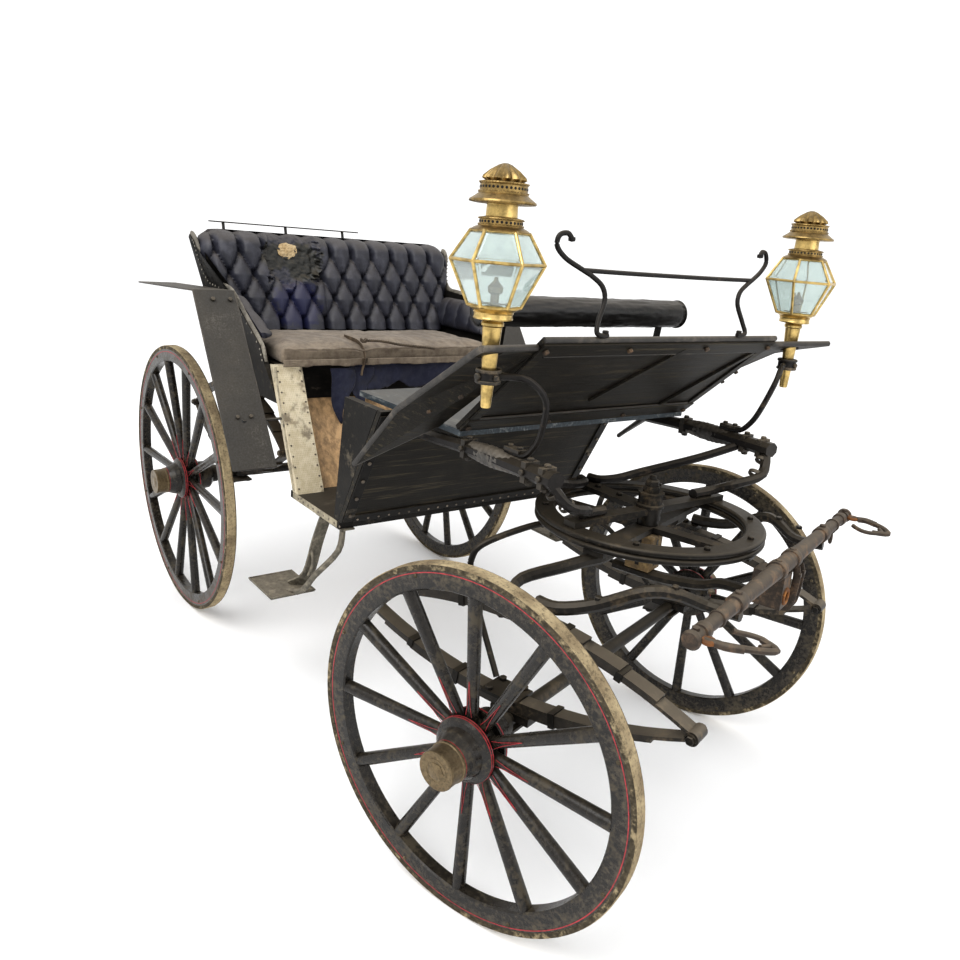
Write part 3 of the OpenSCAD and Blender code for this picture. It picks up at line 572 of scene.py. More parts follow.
for name, wheel in WHEELS.items():
    place, r = wheel_place(wheel, name), wheel["radius"]
    body = f"{name}_roller"
    lining = Shape(place)
    band(lining, r * 0.955 - 0.0013, r * 0.955 + 0.0013, 0.018, 0.0196)
    for radius, low, high in ((0.085, 0.0035, 0.0065), (0.085, 0.0105, 0.0135), (0.062, 0.03, 0.033),
                              (0.0522, 0.064, 0.067), (0.0662, -0.012, -0.008), (0.085, -0.05, -0.046)):
        band(lining, radius - 0.004, radius + 0.0006, low, high, 64)
    inner = r - 0.0652
    for k in range(wheel["spokes"]):
        turn = Matrix.Rotation(2 * math.pi * k / wheel["spokes"], 4, "Z")
        out = lambda d, side: turn @ Vector((d, side, -SPOKE_DISH * (inner - d) / (inner - 0.048)
                                             + 0.0155 + 0.003 * d / inner))
        for side in (-1, 1):
            lining.tube([out(0.088, side * 0.009), out(0.12, side * 0.004), out(0.185, 0.0)], 0.0008, 5)
    lining.piece(f"{name}_red_lining", "red_line", "wheel_paint", body)

    rims = Shape(place)
    for sign in (-1, 1):
        band(rims, r - 0.015, r - 0.0022, sign * 0.018, sign * 0.02)
        for p in circle(r * 0.94, sign * 0.019, 8, math.pi / 8):
            rims.stud(p, (0, 0, sign), 0.006)
    rims.piece(f"{name}_tyre_rims", "tyre_crust", "rubber_tyre", body)

    cap = Shape(place)
    cap.turned([(0.0495, 0.066), (0.053, 0.068), (0.053, 0.074), (0.0503, 0.076), (0.0497, 0.108),
                (0.0505, 0.112),
                (0.0495, 0.1166), (0.045, 0.1172), (0.0425, 0.1168), (0.042, 0.1168), (0, 0.1168)], sides=64)
    cap.turned([(0.024, CAP_FACE), (0.024, 0.1176), (0.022, 0.1182), (0, 0.1182)], sides=6)
    cap.turned([(0.032, CAP_FACE), (0.032, 0.1173), (0.028, 0.1173), (0.028, CAP_FACE)], sides=48)
    cap.piece(f"{name}_hub_cap", "hub_brass", "lamp_brass", body, crease=30)
print("lined", len(WHEELS), "wheels")

# %% [markdown]
# A carriage lamp is sheet brass: a tapered stem that drops into its socket, a cup, a cage
# of six slanted uprights in two tiers, and a chimney with a brim and a fluted crown.
# The cage bars and the bevelled panes come from the same six-cornered rings.
# %% Lamp frames
STEM = 0.118
TIERS = ((0.0612, 0.1212), (0.109, 0.222), (0.0676, 0.2888))
FIRST_CORNER = math.radians(52)
BAR = 0.004


def lamp_middle(side):
    """The stem's centre, where it meets its socket."""
    low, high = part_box(f"{side}_lamp")
    return Vector(((low.x + high.x) / 2, (low.y + high.y) / 2, low.z + STEM))


for side in ("right", "left"):
    place = Matrix.Translation(lamp_middle(side))
    lamp = Shape(place)
    lamp.turned([(0, -STEM), (0.011, -STEM), (0.0125, -0.115), (0.0233, 0.074), (0.0268, 0.077),
                 (0.0272, 0.083),
                 (0.0245, 0.087), (0.03, 0.09), (0.0455, 0.0918), (0.047, 0.0945), (0.0455, 0.0972),
                 (0.0455, 0.105),
                 (0.0475, 0.1075), (0.046, 0.11), (0.056, 0.1165), (0.06, 0.1185), (0.06, 0.1212),
                 (0, 0.1212)], sides=64)
    lamp.turned([(0.035, 0.32), (0.0365, 0.3215), (0.0355, 0.346), (0.038, 0.35)], sides=64)
    chimney = Shape(place)
    chimney.turned([(0, 0.2888), (0.067, 0.2888), (0.068, 0.2905), (0.064, 0.2945), (0.056, 0.2985),
                    (0.052, 0.3),
                    (0.0525, 0.3025), (0.0495, 0.3045), (0.0495, 0.314), (0.052, 0.316), (0.051, 0.3185),
                    (0.038, 0.321), (0.0345, 0.321)], sides=64)
    chimney.turned([(0.0345, 0.348), (0.064, 0.349), (0.075, 0.3505), (0.0772, 0.353), (0.076, 0.3565),
                    (0.069, 0.361), (0.062, 0.366), (0.0565, 0.3705), (0.0575, 0.3735), (0.0545, 0.3765),
                    (0.054, 0.39), (0.0565, 0.393), (0.056, 0.3955), (0.05, 0.397), (0, 0.3975)], sides=64)
    crown = []
    for radius, z, flute in ((0.042, 0.3975, 0), (0.047, 0.403, 0.1), (0.044, 0.409, 0.12),
                             (0.031, 0.422, 0.11),
                             (0.015, 0.4335, 0.05), (0.006, 0.4372, 0)):
        swells = [1 + flute * math.cos(2 * math.pi * k / 8) for k in range(96)]
        crown.append([(p.x * swell, p.y * swell, z) for p, swell in zip(circle(radius, z, 96), swells)])
    chimney.skin(crown)
    rings = [circle(radius, z, 6, FIRST_CORNER) for radius, z in TIERS]
    for ring in rings:
        for a, b in zip(ring, ring[1:] + ring[:1]):
            lamp.tube([a, b], BAR, 8)
    for low_ring, high_ring in zip(rings, rings[1:]):
        for a, b in zip(low_ring, high_ring):
            lamp.tube([a, b], BAR, 8)
            lamp.stud(b, b.normalized(), 0.0045)
    for z, radius, count in ((0.316, 0.052, 40), (0.3035, 0.052, 40), (0.3745, 0.057, 44),
                             (0.3945, 0.056, 44)):
        for p in circle(radius, z, count):
            chimney.stud(p, (p.x, p.y, 0), 0.0017)
    lamp.piece(f"{side}_lamp_frame", "brass", "lamp_brass", crease=32,
               replaces=(f"{side}_lamp",))
    chimney.piece(f"{side}_lamp_chimney", "antique_brass", "lamp_brass", crease=32)

    # Painted shade: thin black-iron discs on the chimney stand in for the shade inside its vent holes.
    vent_hole_shade = Shape(place)
    for z, radius, count in ((0.3092, 0.0497, 30), (0.3835, 0.0543, 34)):
        for p in circle(radius, z, count):
            vent_hole_shade.turned([(0, 0), (0.0032, 0), (0.0028, 0.0004), (0, 0.0004)], p, (p.x, p.y, 0), 10)
    vent_hole_shade.piece(f"{side}_lamp_vent_shade", "black_iron", "lamp_brass")

    burner = Shape(place)
    burner.turned([(0, 0.1214), (0.021, 0.1214), (0.021, 0.126), (0.01, 0.13), (0.01, 0.15), (0.017, 0.154),
                   (0.018, 0.166), (0.012, 0.172), (0.006, 0.178), (0.004, 0.186), (0, 0.186)], sides=28)
    burner.turned([(0.0345, 0.129), (0.036, 0.129), (0.036, 0.131), (0.0345, 0.131), (0.0345, 0.129)],
                  sides=36)
    burner.piece(f"{side}_lamp_burner", "dark_brass", "lamp_brass")
print("lamps are framed")

# %% [markdown]
# Bevelled panes are thick plates with a slanted border. Twelve of them fill each cage,
# a little inside the bars, and the border is what throws the bright lines of real panes.
# %% Lamp panes
panes = Shape()
for side in ("right", "left"):
    middle_of_lamp = lamp_middle(side)
    rings = [circle(radius * 0.985, z, 6, FIRST_CORNER) for radius, z in TIERS]
    for low_ring, high_ring in zip(rings, rings[1:]):
        for k in range(6):
            corners = [low_ring[k - 1], low_ring[k], high_ring[k], high_ring[k - 1]]
            middle = sum(corners, Vector()) / 4
            normal = (corners[1] - corners[0]).cross(corners[3] - corners[0]).normalized()
            if normal.dot(Vector((middle.x, middle.y, 0))) < 0:
                normal.negate()
            inset = lambda share, out: [middle_of_lamp + middle + (c - middle) * share + normal * out
                                        for c in corners]
            panes.skin([inset(0.96, -0.0022), inset(0.96, -0.0006), inset(0.8, 0.0008)])
panes.piece("lamp_panes", "bevelled_glass", "bevelled_glass", crease=10,
            replaces=("lamp_glass",))
print("panes set")

# %% [markdown]
# The seat back is deep buttoned: the leather is pulled to rows of buttons, and folds run
# from each button to its neighbours on the slant, so that it swells into diamonds. A fold
# is where one of two slanted counts comes to a whole number, and a button is where both do.
# The near half has suffered: a strip is torn down to its stuffing, with a bluer patch below.
# %% Tufted seat back
SEAT_BOX_Z, SEAT_Z, SEAT_REAR_X = 1.0004, 1.1404, -0.94
LEAN, FLARE = math.tan(math.radians(16.7)), math.tan(math.radians(11))
BUTTON_PITCH, ROW_STEP, TOP_ROW, BUTTON_START = 0.104, 0.0965, 0.325, 0.065


def back_x(z): return SEAT_REAR_X - (z - SEAT_BOX_Z) * LEAN


def side_at(z): return 0.5 + (z - SEAT_BOX_Z) * FLARE


def smooth_step(low, high, value):
    t = min(max((value - low) / (high - low), 0), 1)
    return t * t * (3 - 2 * t)


def rough(x, y, z=0.0, seed=0.0):
    return noise.fractal(Vector((x, y, z + seed)), 0.6, 2.0, 4)


def diamonds(y, s, pitch=BUTTON_PITCH):
    """Height between folds, from 0 to 1, and how near the next button is."""
    level = min(max(s, TOP_ROW - 3 * ROW_STEP), TOP_ROW) - TOP_ROW
    a = (y - BUTTON_START) / pitch + level / (2 * ROW_STEP)
    b = (y - BUTTON_START) / pitch - level / (2 * ROW_STEP)
    fold_a, fold_b = abs(math.sin(math.pi * a)), abs(math.sin(math.pi * b))
    return min(fold_a, fold_b), math.hypot(fold_a, fold_b)


def torn(y, s):
    edge = rough(y * 14, s * 14) * 0.03
    return (smooth_step(-0.35, -0.325, y + edge) * (1 - smooth_step(-0.105, -0.085, y + edge))
            * smooth_step(0.19, 0.22, s + edge))


def back_depth(y, s, width, length):
    swell, near = diamonds(y, s)
    depth = 0.034 + 0.032 * swell ** 0.55 + 0.026 * smooth_step(0, 0.75, near)
    depth -= 0.012 * math.exp(-((y + 0.085) / 0.012) ** 2)
    rag = torn(y, s)
    depth = depth * (1 - rag) + (0.042 + 0.007 * rough(y * 38, s * 38)) * rag
    end = max(0.0, (s - (length - 0.055)) / 0.055)
    side = max(0.0, (abs(y) - (width - 0.05)) / 0.05)
    return 0.004 + depth * math.sqrt(max(0.0, 1 - end ** 2)) * math.sqrt(max(0.0, 1 - 0.75 * side ** 2))


BACK_LOW, BACK_RISE = SEAT_Z + 0.08, 0.392
UPRIGHT = math.cos(math.atan(LEAN))
BACK_LENGTH = BACK_RISE / UPRIGHT
CORNER = 0.085


def back_height(y, width):
    """Length of the slope at y: the upper corners are rounded."""
    past = max(0.0, abs(y) - (width - CORNER))
    return BACK_LENGTH - CORNER + math.sqrt(max(0.0, CORNER ** 2 - past ** 2))


rings = []
for i in range(97):
    width = side_at(BACK_LOW + BACK_RISE * i / 96) - 0.003
    front, back = [], []
    for k in range(231):
        y = width * (k / 115 - 1)
        s = back_height(y, width) * i / 96
        z = BACK_LOW + s * UPRIGHT
        dip = 0.01 * (1 - diamonds(y, TOP_ROW)[0]) * (i / 96) ** 6
        front.append((back_x(z) + 0.0005 + back_depth(y, s, width, back_height(y, width)), y, z - dip))
        if k % 8 == 3:
            back.append((back_x(z), y, z))
    rings.append(front[::-1] + back)
tufted_back = Shape()
tufted_back.skin(rings)
padding = tufted_back.piece("tufted_seat_back", "tufted_leather", "tufted_leather",
                            crease=60, replaces=("seat_back_padding",))

buttons = Shape()
for row in range(4):
    s = TOP_ROW - row * ROW_STEP
    z = BACK_LOW + s * UPRIGHT
    for k in range(-7, 7):
        y = BUTTON_START + (k + 0.5 * (row % 2)) * BUTTON_PITCH
        if abs(y) < side_at(z) - 0.035 and torn(y, s) < 0.3:
            buttons.turned([(0.0, 0), (0.0085, 0.0), (0.0085, 0.002), (0.006, 0.0045), (0, 0.0055)],
                           (back_x(z) + 0.037, y, z), (1, 0, LEAN), 14)
buttons.piece("seat_back_buttons", "tufted_leather", "tufted_leather")

rings_of_straw = []
for share in (1, 0.8, 0.6, 0.4, 0.2, 0):
    ring = []
    for a in (2 * math.pi * k / 48 for k in range(48)):
        y = -0.235 + 0.042 * (0.08 + share) * math.cos(a) * (1 + 0.25 * rough(a, 1))
        z = 1.543 + 0.03 * (0.08 + share) * math.sin(a) * (1 + 0.3 * rough(a, 5))
        ring.append((back_x(z) + 0.0475 + 0.008 * (1 - share) + 0.004 * rough(y * 60, z * 60), y, z))
    rings_of_straw.append(ring)
stuffing = Shape()
stuffing.skin(rings_of_straw)
stuffing.piece("torn_stuffing", "straw", "cream_canvas", crease=60)
print("seat back:", len(rings) * len(rings[0]), "points")

# %% [markdown]
# The arm pads follow the sloping side boards. Each is a chain of D-shaped sections, flat
# against its board, whose swell rises and falls with the pleats.
# %% Arm pads
def arm_top(x):
    """The side board rises by 0.116 over 0.198, from just behind its front edge."""
    return 1.2604 + min(max(-0.572 - x, 0), 0.198) / 0.198 * 0.116


for sign, side in ((-1, "right"), (1, "left")):
    rings = []
    for i in range(81):
        x = -0.56 - i / 80 * 0.392
        low, high = 1.235, arm_top(x) - 0.004
        swell = 0.75 + 0.25 * abs(math.sin(math.pi * (x + 0.02) / 0.098)) ** 0.5
        swell *= math.sin(math.pi / 2 * min(1, 0.25 + i / 9))
        ring = []
        for k in range(22):
            a = math.pi * k / 21
            z = low + (high - low) * (1 - math.cos(a)) / 2
            across = 0.003 + 0.052 * swell * math.sin(a) ** 0.55
            across *= 1 - 0.18 * math.exp(-((z - (low + high) / 2) / 0.012) ** 2) * (1 - swell)
            ring.append((x, sign * (side_at(z) - 0.0006 - across), z))
        for k in range(8):
            z = high - (high - low) * (k + 0.5) / 8
            ring.append((x, sign * (side_at(z) - 0.0006), z))
        rings.append(ring)
    arm = Shape()
    arm.skin(rings)
    pad = arm.piece(f"{side}_arm_padding", "tufted_leather", "tufted_leather", crease=60,
                    replaces=(f"{side}_arm_pad",))

    edge_path = [(-0.545, 1.15), (-0.553, 1.212), (-0.66, 1.3), (-0.77, 1.387), (-0.9, 1.398),
                 (-0.985, 1.405),
                 (-1.036, 1.443), (-1.062, 1.5), (-1.076, 1.552), (-1.1, 1.578), (-1.123, 1.584)]
    edging = Shape()
    welt = [(x, sign * (side_at(z) + 0.01), z + 0.001) for x, z in edge_path]
    edging.tube(curve(welt), 0.0125, 10, 0.55, (0, 1, 0))
    for k in range(26):
        a, b = (Vector(p) for p in edge_path[k // 3:k // 3 + 2])
        x, z = a.lerp(b, (k % 3 + 0.5) / 3)
        edging.stud((x, sign * (side_at(z) + 0.0205), z - 0.006), (0, sign, 0), 0.0045)
    edging.piece(f"{side}_seat_edging", "edging", "cream_canvas")
print("arm pads and edging made")

# %% [markdown]
# The seat cushion is cloth over stuffing. It starts as a smaller slab, and a short cloth
# simulation with inner pressure blows it up to its crown; its moves are capped so that it
# keeps its size. Afterwards the strap's pinch, the sag and the long creases are pressed in.
# %% Seat cushion
LARGEST_MOVE = 0.016
STRAP_Y = -0.165
CUSHION_FLOOR, CUSHION_REAR, CUSHION_FRONT = 1.1408, -0.9415, -0.466


def swell(mesh_object):
    """Runs the cloth simulation and keeps its result."""
    start = [v.co.copy() for v in mesh_object.data.vertices]
    cloth = mesh_object.modifiers.new("cloth", "CLOTH")
    cloth.settings.use_pressure = True
    cloth.settings.uniform_pressure_force = 4
    cloth.settings.effector_weights.gravity = 0
    for step in range(1, 21):
        bpy.context.scene.frame_set(step)
    apply_modifiers(mesh_object)
    for v, place in zip(mesh_object.data.vertices, start):
        move = v.co - place
        if move.length > LARGEST_MOVE:
            v.co = place + move * (LARGEST_MOVE / move.length)


def apply_modifiers(mesh_object):
    shown = mesh_object.evaluated_get(bpy.context.evaluated_depsgraph_get())
    fresh = bpy.data.meshes.new_from_object(shown)
    mesh_object.modifiers.clear()
    mesh_object.data = fresh


slab = Shape()
slab.skin([[(x, y, z) for y, z in ((-w, low), (w, low), (w, high), (-w, high))]
           for x, w, low, high in ((-0.932, 0.508, 1.15, 1.206), (-0.482, 0.508, 1.15, 1.204))])
cushion = slab.piece("seat_cushion_cover", "seat_cloth", "seat_cloth", crease=180,
                     replaces=("seat_cushion",))
even = cushion.modifiers.new("even", "REMESH")
even.mode, even.voxel_size = "VOXEL", 0.01
apply_modifiers(cushion)
swell(cushion)
for v in cushion.data.vertices:
    x, y, z = v.co
    top = smooth_step(1.185, 1.212, z)
    pinch = math.exp(-((y - STRAP_Y) / 0.035) ** 2)
    crease = math.exp(-(((y - STRAP_Y) * 0.9 + (x + 0.5) * 0.55 + 0.006 * rough(x * 9, y * 9)) / 0.012) ** 2)
    fold = 0.5 + 0.5 * math.sin(34 * (y * 0.8 + x * 0.45) + 3 * rough(x * 3, y * 3))
    bloom = 0.011 * math.sin(math.pi * min(max((x + 0.94) / 0.47, 0), 1)) * (1 - (y / 0.53) ** 4)
    v.co.z += top * (bloom + 0.006 * rough(x * 5, y * 5) - 0.013 * pinch * smooth_step(-0.8, -0.5, x)
                     - 0.005 * crease - 0.004 * fold * smooth_step(-0.9, -0.6, x))
    front = smooth_step(-0.52, -0.48, x)
    v.co.x += front * (-0.01 * pinch + 0.003 * rough(y * 12, z * 12) - 0.002)
    v.co.z = max(v.co.z, CUSHION_FLOOR)
    v.co.x = min(max(v.co.x, CUSHION_REAR), CUSHION_FRONT)
cushion.data.materials.clear()
cushion.data.materials.append(FINISHES["seat_cloth"])
cushion.data.shade_smooth()
plump = cushion.modifiers.new("soft", "SUBSURF")
plump.levels = plump.render_levels = 1

piping = Shape()
for z, dip in ((1.206, 0.009), (1.156, 0.004)):
    path = [(-0.4665 - 0.004 * rough(y * 9, z), y,
             z - dip * math.exp(-((y - STRAP_Y) / 0.03) ** 2) + 0.002 * rough(y * 7, 3))
            for y in (-0.5 + 0.02 * k for k in range(51))]
    piping.tube(path, 0.0042, 8)
piping.piece("cushion_piping", "seat_cloth", "seat_cloth")
print("cushion:", len(cushion.data.vertices), "points before rounding")

# %% [markdown]
# Below the cushion hangs a short blue cloth that hid the seat box. It is a single sheet with
# soft upright folds, torn into tongues near the middle. A strap and a piece of cord still
# hold the cushion down.
# %% Seat valance, torn strips, strap and cord
def hanging_sheet(name, finish, y0, y1, top, bottom, x, waves=5.0, deep=0.005, seed=0.0, rows=14, columns=80):
    """A sheet that hangs from top; bottom is a function of the share across."""
    sheet = Shape()
    grid = []
    for i in range(rows + 1):
        row = []
        for k in range(columns + 1):
            across, down = k / columns, i / rows
            y = y0 + (y1 - y0) * across
            z = top + (bottom(across) - top) * down
            wave = math.sin(waves * y * 6.3 + 2.2 * rough(y * 3, seed)) * (0.25 + 0.75 * down)
            row.append((x + deep * wave + 0.004 * rough(y * 8, z * 8, 0, seed), y, z))
        grid.append(row)
    sheet.skin(grid, round_=False, caps=False)
    made = sheet.piece(name, finish, "seat_cloth", crease=180)
    thick = made.modifiers.new("cloth_thickness", "SOLIDIFY")
    thick.thickness = 0.0016
    return made


def sheet_area(made):
    return sum(face.area for face in made.data.polygons)


def tattered(share):
    cut = 0.03 * max(0, math.sin(share * 21 + 1)) ** 3 + 0.012 * rough(share * 12, 3)
    return 1.04 + cut


valance = hanging_sheet("seat_valance", "blue_cloth", -0.215, 0.49, 1.1405, tattered, -0.482)
STRIP_TOP, STRIP_EDGE = 1.13, 1.045
for number, (y, wide, tip) in enumerate(((-0.256, 0.052, 0.905), (-0.165, 0.046, 0.962))):
    pointed = lambda share: STRIP_EDGE + (tip - STRIP_EDGE) * max(0.0, math.sin(math.pi * share)) ** 0.7
    strip = hanging_sheet(f"torn_strip_{number + 1}", "blue_cloth", -wide, wide, STRIP_TOP, pointed,
                          -0.47 - 0.004 * number, 9, 0.004, number + 5.0, 16, 18)
    for v in strip.data.vertices:
        down = (STRIP_TOP - v.co.z) / (STRIP_TOP - tip)
        v.co.y = y + v.co.y * (1 - 0.62 * smooth_step(0.2, 1.0, down)) + 0.01 * math.sin(7 * down + number)

flap = hanging_sheet("cushion_flap", "seat_cloth", -0.505, 0.5, 1.168,
                     lambda share: 1.1415 + 0.006 * rough(share * 9, 2), -0.461, 3.0, 0.002, 9.0, 6, 90)

strap = Shape()
strap.tube(curve([(-0.66, -0.15, 1.2265), (-0.6, -0.155, 1.227), (-0.53, -0.16, 1.224),
                  (-0.482, -0.163, 1.208),
                  (-0.456, -0.165, 1.18), (-0.454, -0.168, 1.15), (-0.458, -0.172, 1.125),
                  (-0.456, -0.176, 1.1)], 5),
           0.0085, 8, 0.28, (0, 1, 0.001))
strap.block((-0.4535, -0.166, 1.16), (0, 0, 1), (0, 1, 0), (0.02, 0.005, 0.024))
strap.piece("cushion_strap", "strap_leather", "black_leather", bevel=0.0006)

cord = Shape()
cord_path = curve([(-0.52, -0.14, 1.229), (-0.5, -0.105, 1.232), (-0.484, -0.06, 1.23), (-0.47, 0.00, 1.22),
                   (-0.466, 0.065, 1.214), (-0.464, 0.13, 1.208), (-0.464, 0.17, 1.202)], 14)
for phase in range(3):
    turns = (k * 0.85 + phase * 2 * math.pi / 3 for k in range(len(cord_path)))
    strand = [p + Vector((math.cos(a), 0, math.sin(a))) * 0.0028 for p, a in zip(cord_path, turns)]
    cord.tube(strand, 0.003, 6)
for k in range(3):
    cord.tube([(-0.512 + 0.01 * math.cos(a + k), -0.142 + 0.012 * math.sin(a + k),
                1.232 + 0.006 * math.sin(2 * a + k))
               for a in (2 * math.pi * m / 20 for m in range(20))], 0.0036, 6, closed=True)
cord.piece("cushion_tie", "strap_leather", "black_leather")
print("valance area", round(sheet_area(valance), 3), "square metres")

# %% [markdown]
# The driver leans on a leather roll. A perfect cylinder would look like pipe, so the skin
# is gathered at its ends, wanders a little along its length, and has a raised seam.
# %% Backrest roll
ROLL_LOW, ROLL_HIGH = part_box("backrest_roll")
ROLL_X, ROLL_Z = (ROLL_LOW.x + ROLL_HIGH.x) / 2, (ROLL_LOW.z + ROLL_HIGH.z) / 2
ROLL_R, ROLL_HALF = (ROLL_HIGH.z - ROLL_LOW.z) / 2, (ROLL_HIGH.y - ROLL_LOW.y) / 2
rings = []
for i in range(141):
    share = 2 * i / 140 - 1
    y = ROLL_HALF * share
    end = max(0.0, (abs(share) - 0.955) / 0.045)
    ring = []
    for k in range(72):
        a = 2 * math.pi * k / 72
        gather = 0.0012 * math.sin(18 * a) * smooth_step(0.86, 0.97, abs(share))
        skin_r = (ROLL_R + 0.0008 + 0.0022 * rough(3 * math.cos(a), y * 9, 3 * math.sin(a)) + gather
                  - 0.0022 * math.exp(-((abs(share) - 0.93) / 0.012) ** 2))
        skin_r *= math.sqrt(max(0.0, 1 - end ** 2)) * 0.75 + 0.25 * (1 - end)
        ring.append((ROLL_X + skin_r * math.sin(a), y, ROLL_Z + skin_r * math.cos(a)))
    rings.append(ring)
roll = Shape()
roll.skin(rings)
for sign in (-1, 1):
    seam = [(ROLL_X + p.y, sign * ROLL_HALF * 0.955, ROLL_Z + p.x) for p in circle(ROLL_R + 0.001, 0, 64)]
    roll.tube(seam, 0.0024, 8, up=(0, 1, 0), closed=True)
    roll.turned([(0, 0), (0.011, 0), (0.01, 0.003), (0, 0.0045)],
                (ROLL_X, sign * (ROLL_HALF - 0.001), ROLL_Z),
                (0, sign, 0), 20)
roll_piece = roll.piece("driver_backrest", "black_leather", "black_leather", crease=60,
                        replaces=("backrest_roll",))
print("roll radius", round(ROLL_R, 3))

# %% [markdown]
# The dash is a framed board. Rails and two slanted battens stand on its underside, a bound
# edge runs round the wings, and bolts tie it to the irons. Everything is placed along the
# slope by one function, so that each strip lies flat on the board.
# %% Dash frame, battens and binding
DASH_LOW = Vector((0.62, 0, 1.1536))
DASH_RUN = Vector((0.325, 0, 0.29))
UNDER = Vector((DASH_RUN.z, 0, -DASH_RUN.x)).normalized()
SLOPE = DASH_RUN.normalized()
UP, DOWN = Vector((0, 0, 1)), Vector((0, 0, -1))


def on_dash(share, y, out=0.0):
    """A point on the underside of the dash, out metres proud of it."""
    return DASH_LOW + DASH_RUN * share + Vector((0, y, 0)) + UNDER * out


frame_strips = Shape()
for share, width, thick in ((0.075, 0.056, 0.009), (0.935, 0.05, 0.007)):
    frame_strips.block(on_dash(share, 0, thick / 2), (0, 1, 0), UNDER, (0.948, width, thick))
for sign in (-1, 1):
    frame_strips.block(on_dash(0.5, sign * 0.4565, 0.003), SLOPE, UNDER, (0.35, 0.03, 0.006))
for a, b in (((0.715, -0.07, 1.233), (0.915, 0.08, 1.429)), ((0.672, 0.3, 1.196), (0.9, 0.43, 1.405))):
    a, b = (Vector(p) - UNDER * (Vector(p) - DASH_LOW).dot(UNDER) + UNDER * 0.004 for p in (a, b))
    frame_strips.block((a + b) / 2, b - a, UNDER, ((b - a).length, 0.02, 0.008))
frame_strips.piece("dash_strips", "dark_board", "dark_board", bevel=0.0012)

mouldings = Shape()
for share in (0.145, 0.872):
    mouldings.tube([on_dash(share, -0.44, 0.004), on_dash(share, 0.44, 0.004)], 0.0035, 8)
half = Vector((-0.0046, 0, 0.0052))
mouldings.tube([on_dash(1.0, y) + half + SLOPE * 0.001 for y in (-0.474, 0.474)], 0.0085)
for sign in (-1, 1):
    rim = [(0.25, 0.5833, 0.9586), (0.38, 0.5935, 1.074), (0.51, 0.6033, 1.1886), (0.68, 0.6143, 1.2886),
           (0.85, 0.6253, 1.3886), (0.92, 0.66, 1.412), (0.995, 0.6973, 1.4336)]
    for path, thick, *form in ((rim, 0.0085, 10, 0.8, (0, 1, 0.3)),
                               ([rim[-1], (0.925, 0.4753, 1.4236)], 0.0085),
                               ([rim[0], (0.535, 0.4753, 1.1436)], 0.0075)):
        mouldings.tube([Vector(p) + half for p in mirrored(path, sign)], thick, *form)
mouldings.piece("dash_binding", "worn_binding", "dark_board")

dash_bolts = Shape()
for y in (-0.455, -0.16, 0.16, 0.455):
    for share in (0.05, 0.94):
        dash_bolts.bolt(on_dash(share, y, 0.008), UNDER, 0.0085)
for sign in (-1, 1):
    for x, y, z in ((0.6, 0.56, 1.206), (0.72, 0.545, 1.27), (0.46, 0.535, 1.118), (0.8, 0.5, 1.318)):
        dash_bolts.bolt(Vector((x, sign * y, z)) - UNDER * 0.002, UNDER, 0.0075)
dash_bolts.piece("dash_bolts", "rusty_iron", "dusty_iron")
print("dash is framed")

# %% [markdown]
# The body below is boards on a frame. Cover strips, bolts and rows of nails show how it
# is held together, and they give the large dark faces the small lights that real ones have.
# %% Body strips, bolts and nails
WALL_FOOT_Z, WALL_LEAN = 0.7054, 0.51


def wall_x(z): return 0.05 + (z - WALL_FOOT_Z) * WALL_LEAN + 0.024


strips, nails = Shape(), Shape()
WALL_UP = Vector((WALL_LEAN, 0, 1)).normalized()
WALL_OUT = Vector((1, 0, -WALL_LEAN)).normalized()


def on_wall(y, z, out):
    return Vector((wall_x(z), y, z)) + WALL_OUT * out


for sign in (-1, 1):
    strips.block(on_wall(sign * 0.505, 0.918, 0.003), WALL_UP, WALL_OUT, (0.455, 0.036, 0.006))
    for k in range(6):
        nails.bolt(on_wall(sign * 0.505, 0.74 + k * 0.07, 0.006), WALL_OUT, 0.0065)
for z, high in ((0.722, 0.032), (1.11, 0.036)):
    strips.block(on_wall(0, z, 0.003), (0, 1, 0), WALL_OUT, (0.972, high, 0.006))
for k in range(24):
    nails.stud(on_wall(-0.47 + 0.0409 * k, 0.718, 0.006), WALL_OUT, 0.0045)
for sign in (-1, 1):
    for k in range(9):
        nails.stud((-0.25 + 0.04 * k, sign * 0.5275, 0.693), (0, sign, 0), 0.0042)
    for k in range(12):
        share = (k + 0.5) / 12
        z = 0.7054 + share * 0.435
        x = -0.26 - 0.23 * share
        for inset in (0.008, 0.097):
            nails.stud((x + 0.0004, sign * (0.525 - inset), z), (1, 0, 0.53), 0.004)
sills = Shape()
for sign in (-1, 1):
    sills.block((-0.125, sign * 0.5262, 0.6935), (1, 0, 0), (0, sign, 0), (0.345, 0.024, 0.0026))
    for y in (0.5245, 0.4215):
        sills.tube([(-0.2905, sign * y, 0.712), (-0.4895, sign * y, 1.136)], 0.0052, 8)
sills.piece("sill_covers", "chipped_cream", "cream_canvas", bevel=0.0005)
strips.piece("body_strips", "body_board", "dark_board", bevel=0.001)
nails.piece("body_nails", "pale_iron", "dusty_iron")

seat_nails = Shape()
for k in range(27):
    seat_nails.stud((-0.5415, -0.46 + 0.0354 * k, 1.134), (1, 0, 0), 0.0045)
seat_nails.piece("seat_box_nails", "dark_brass", "lamp_brass")
print("strips and nails in place")

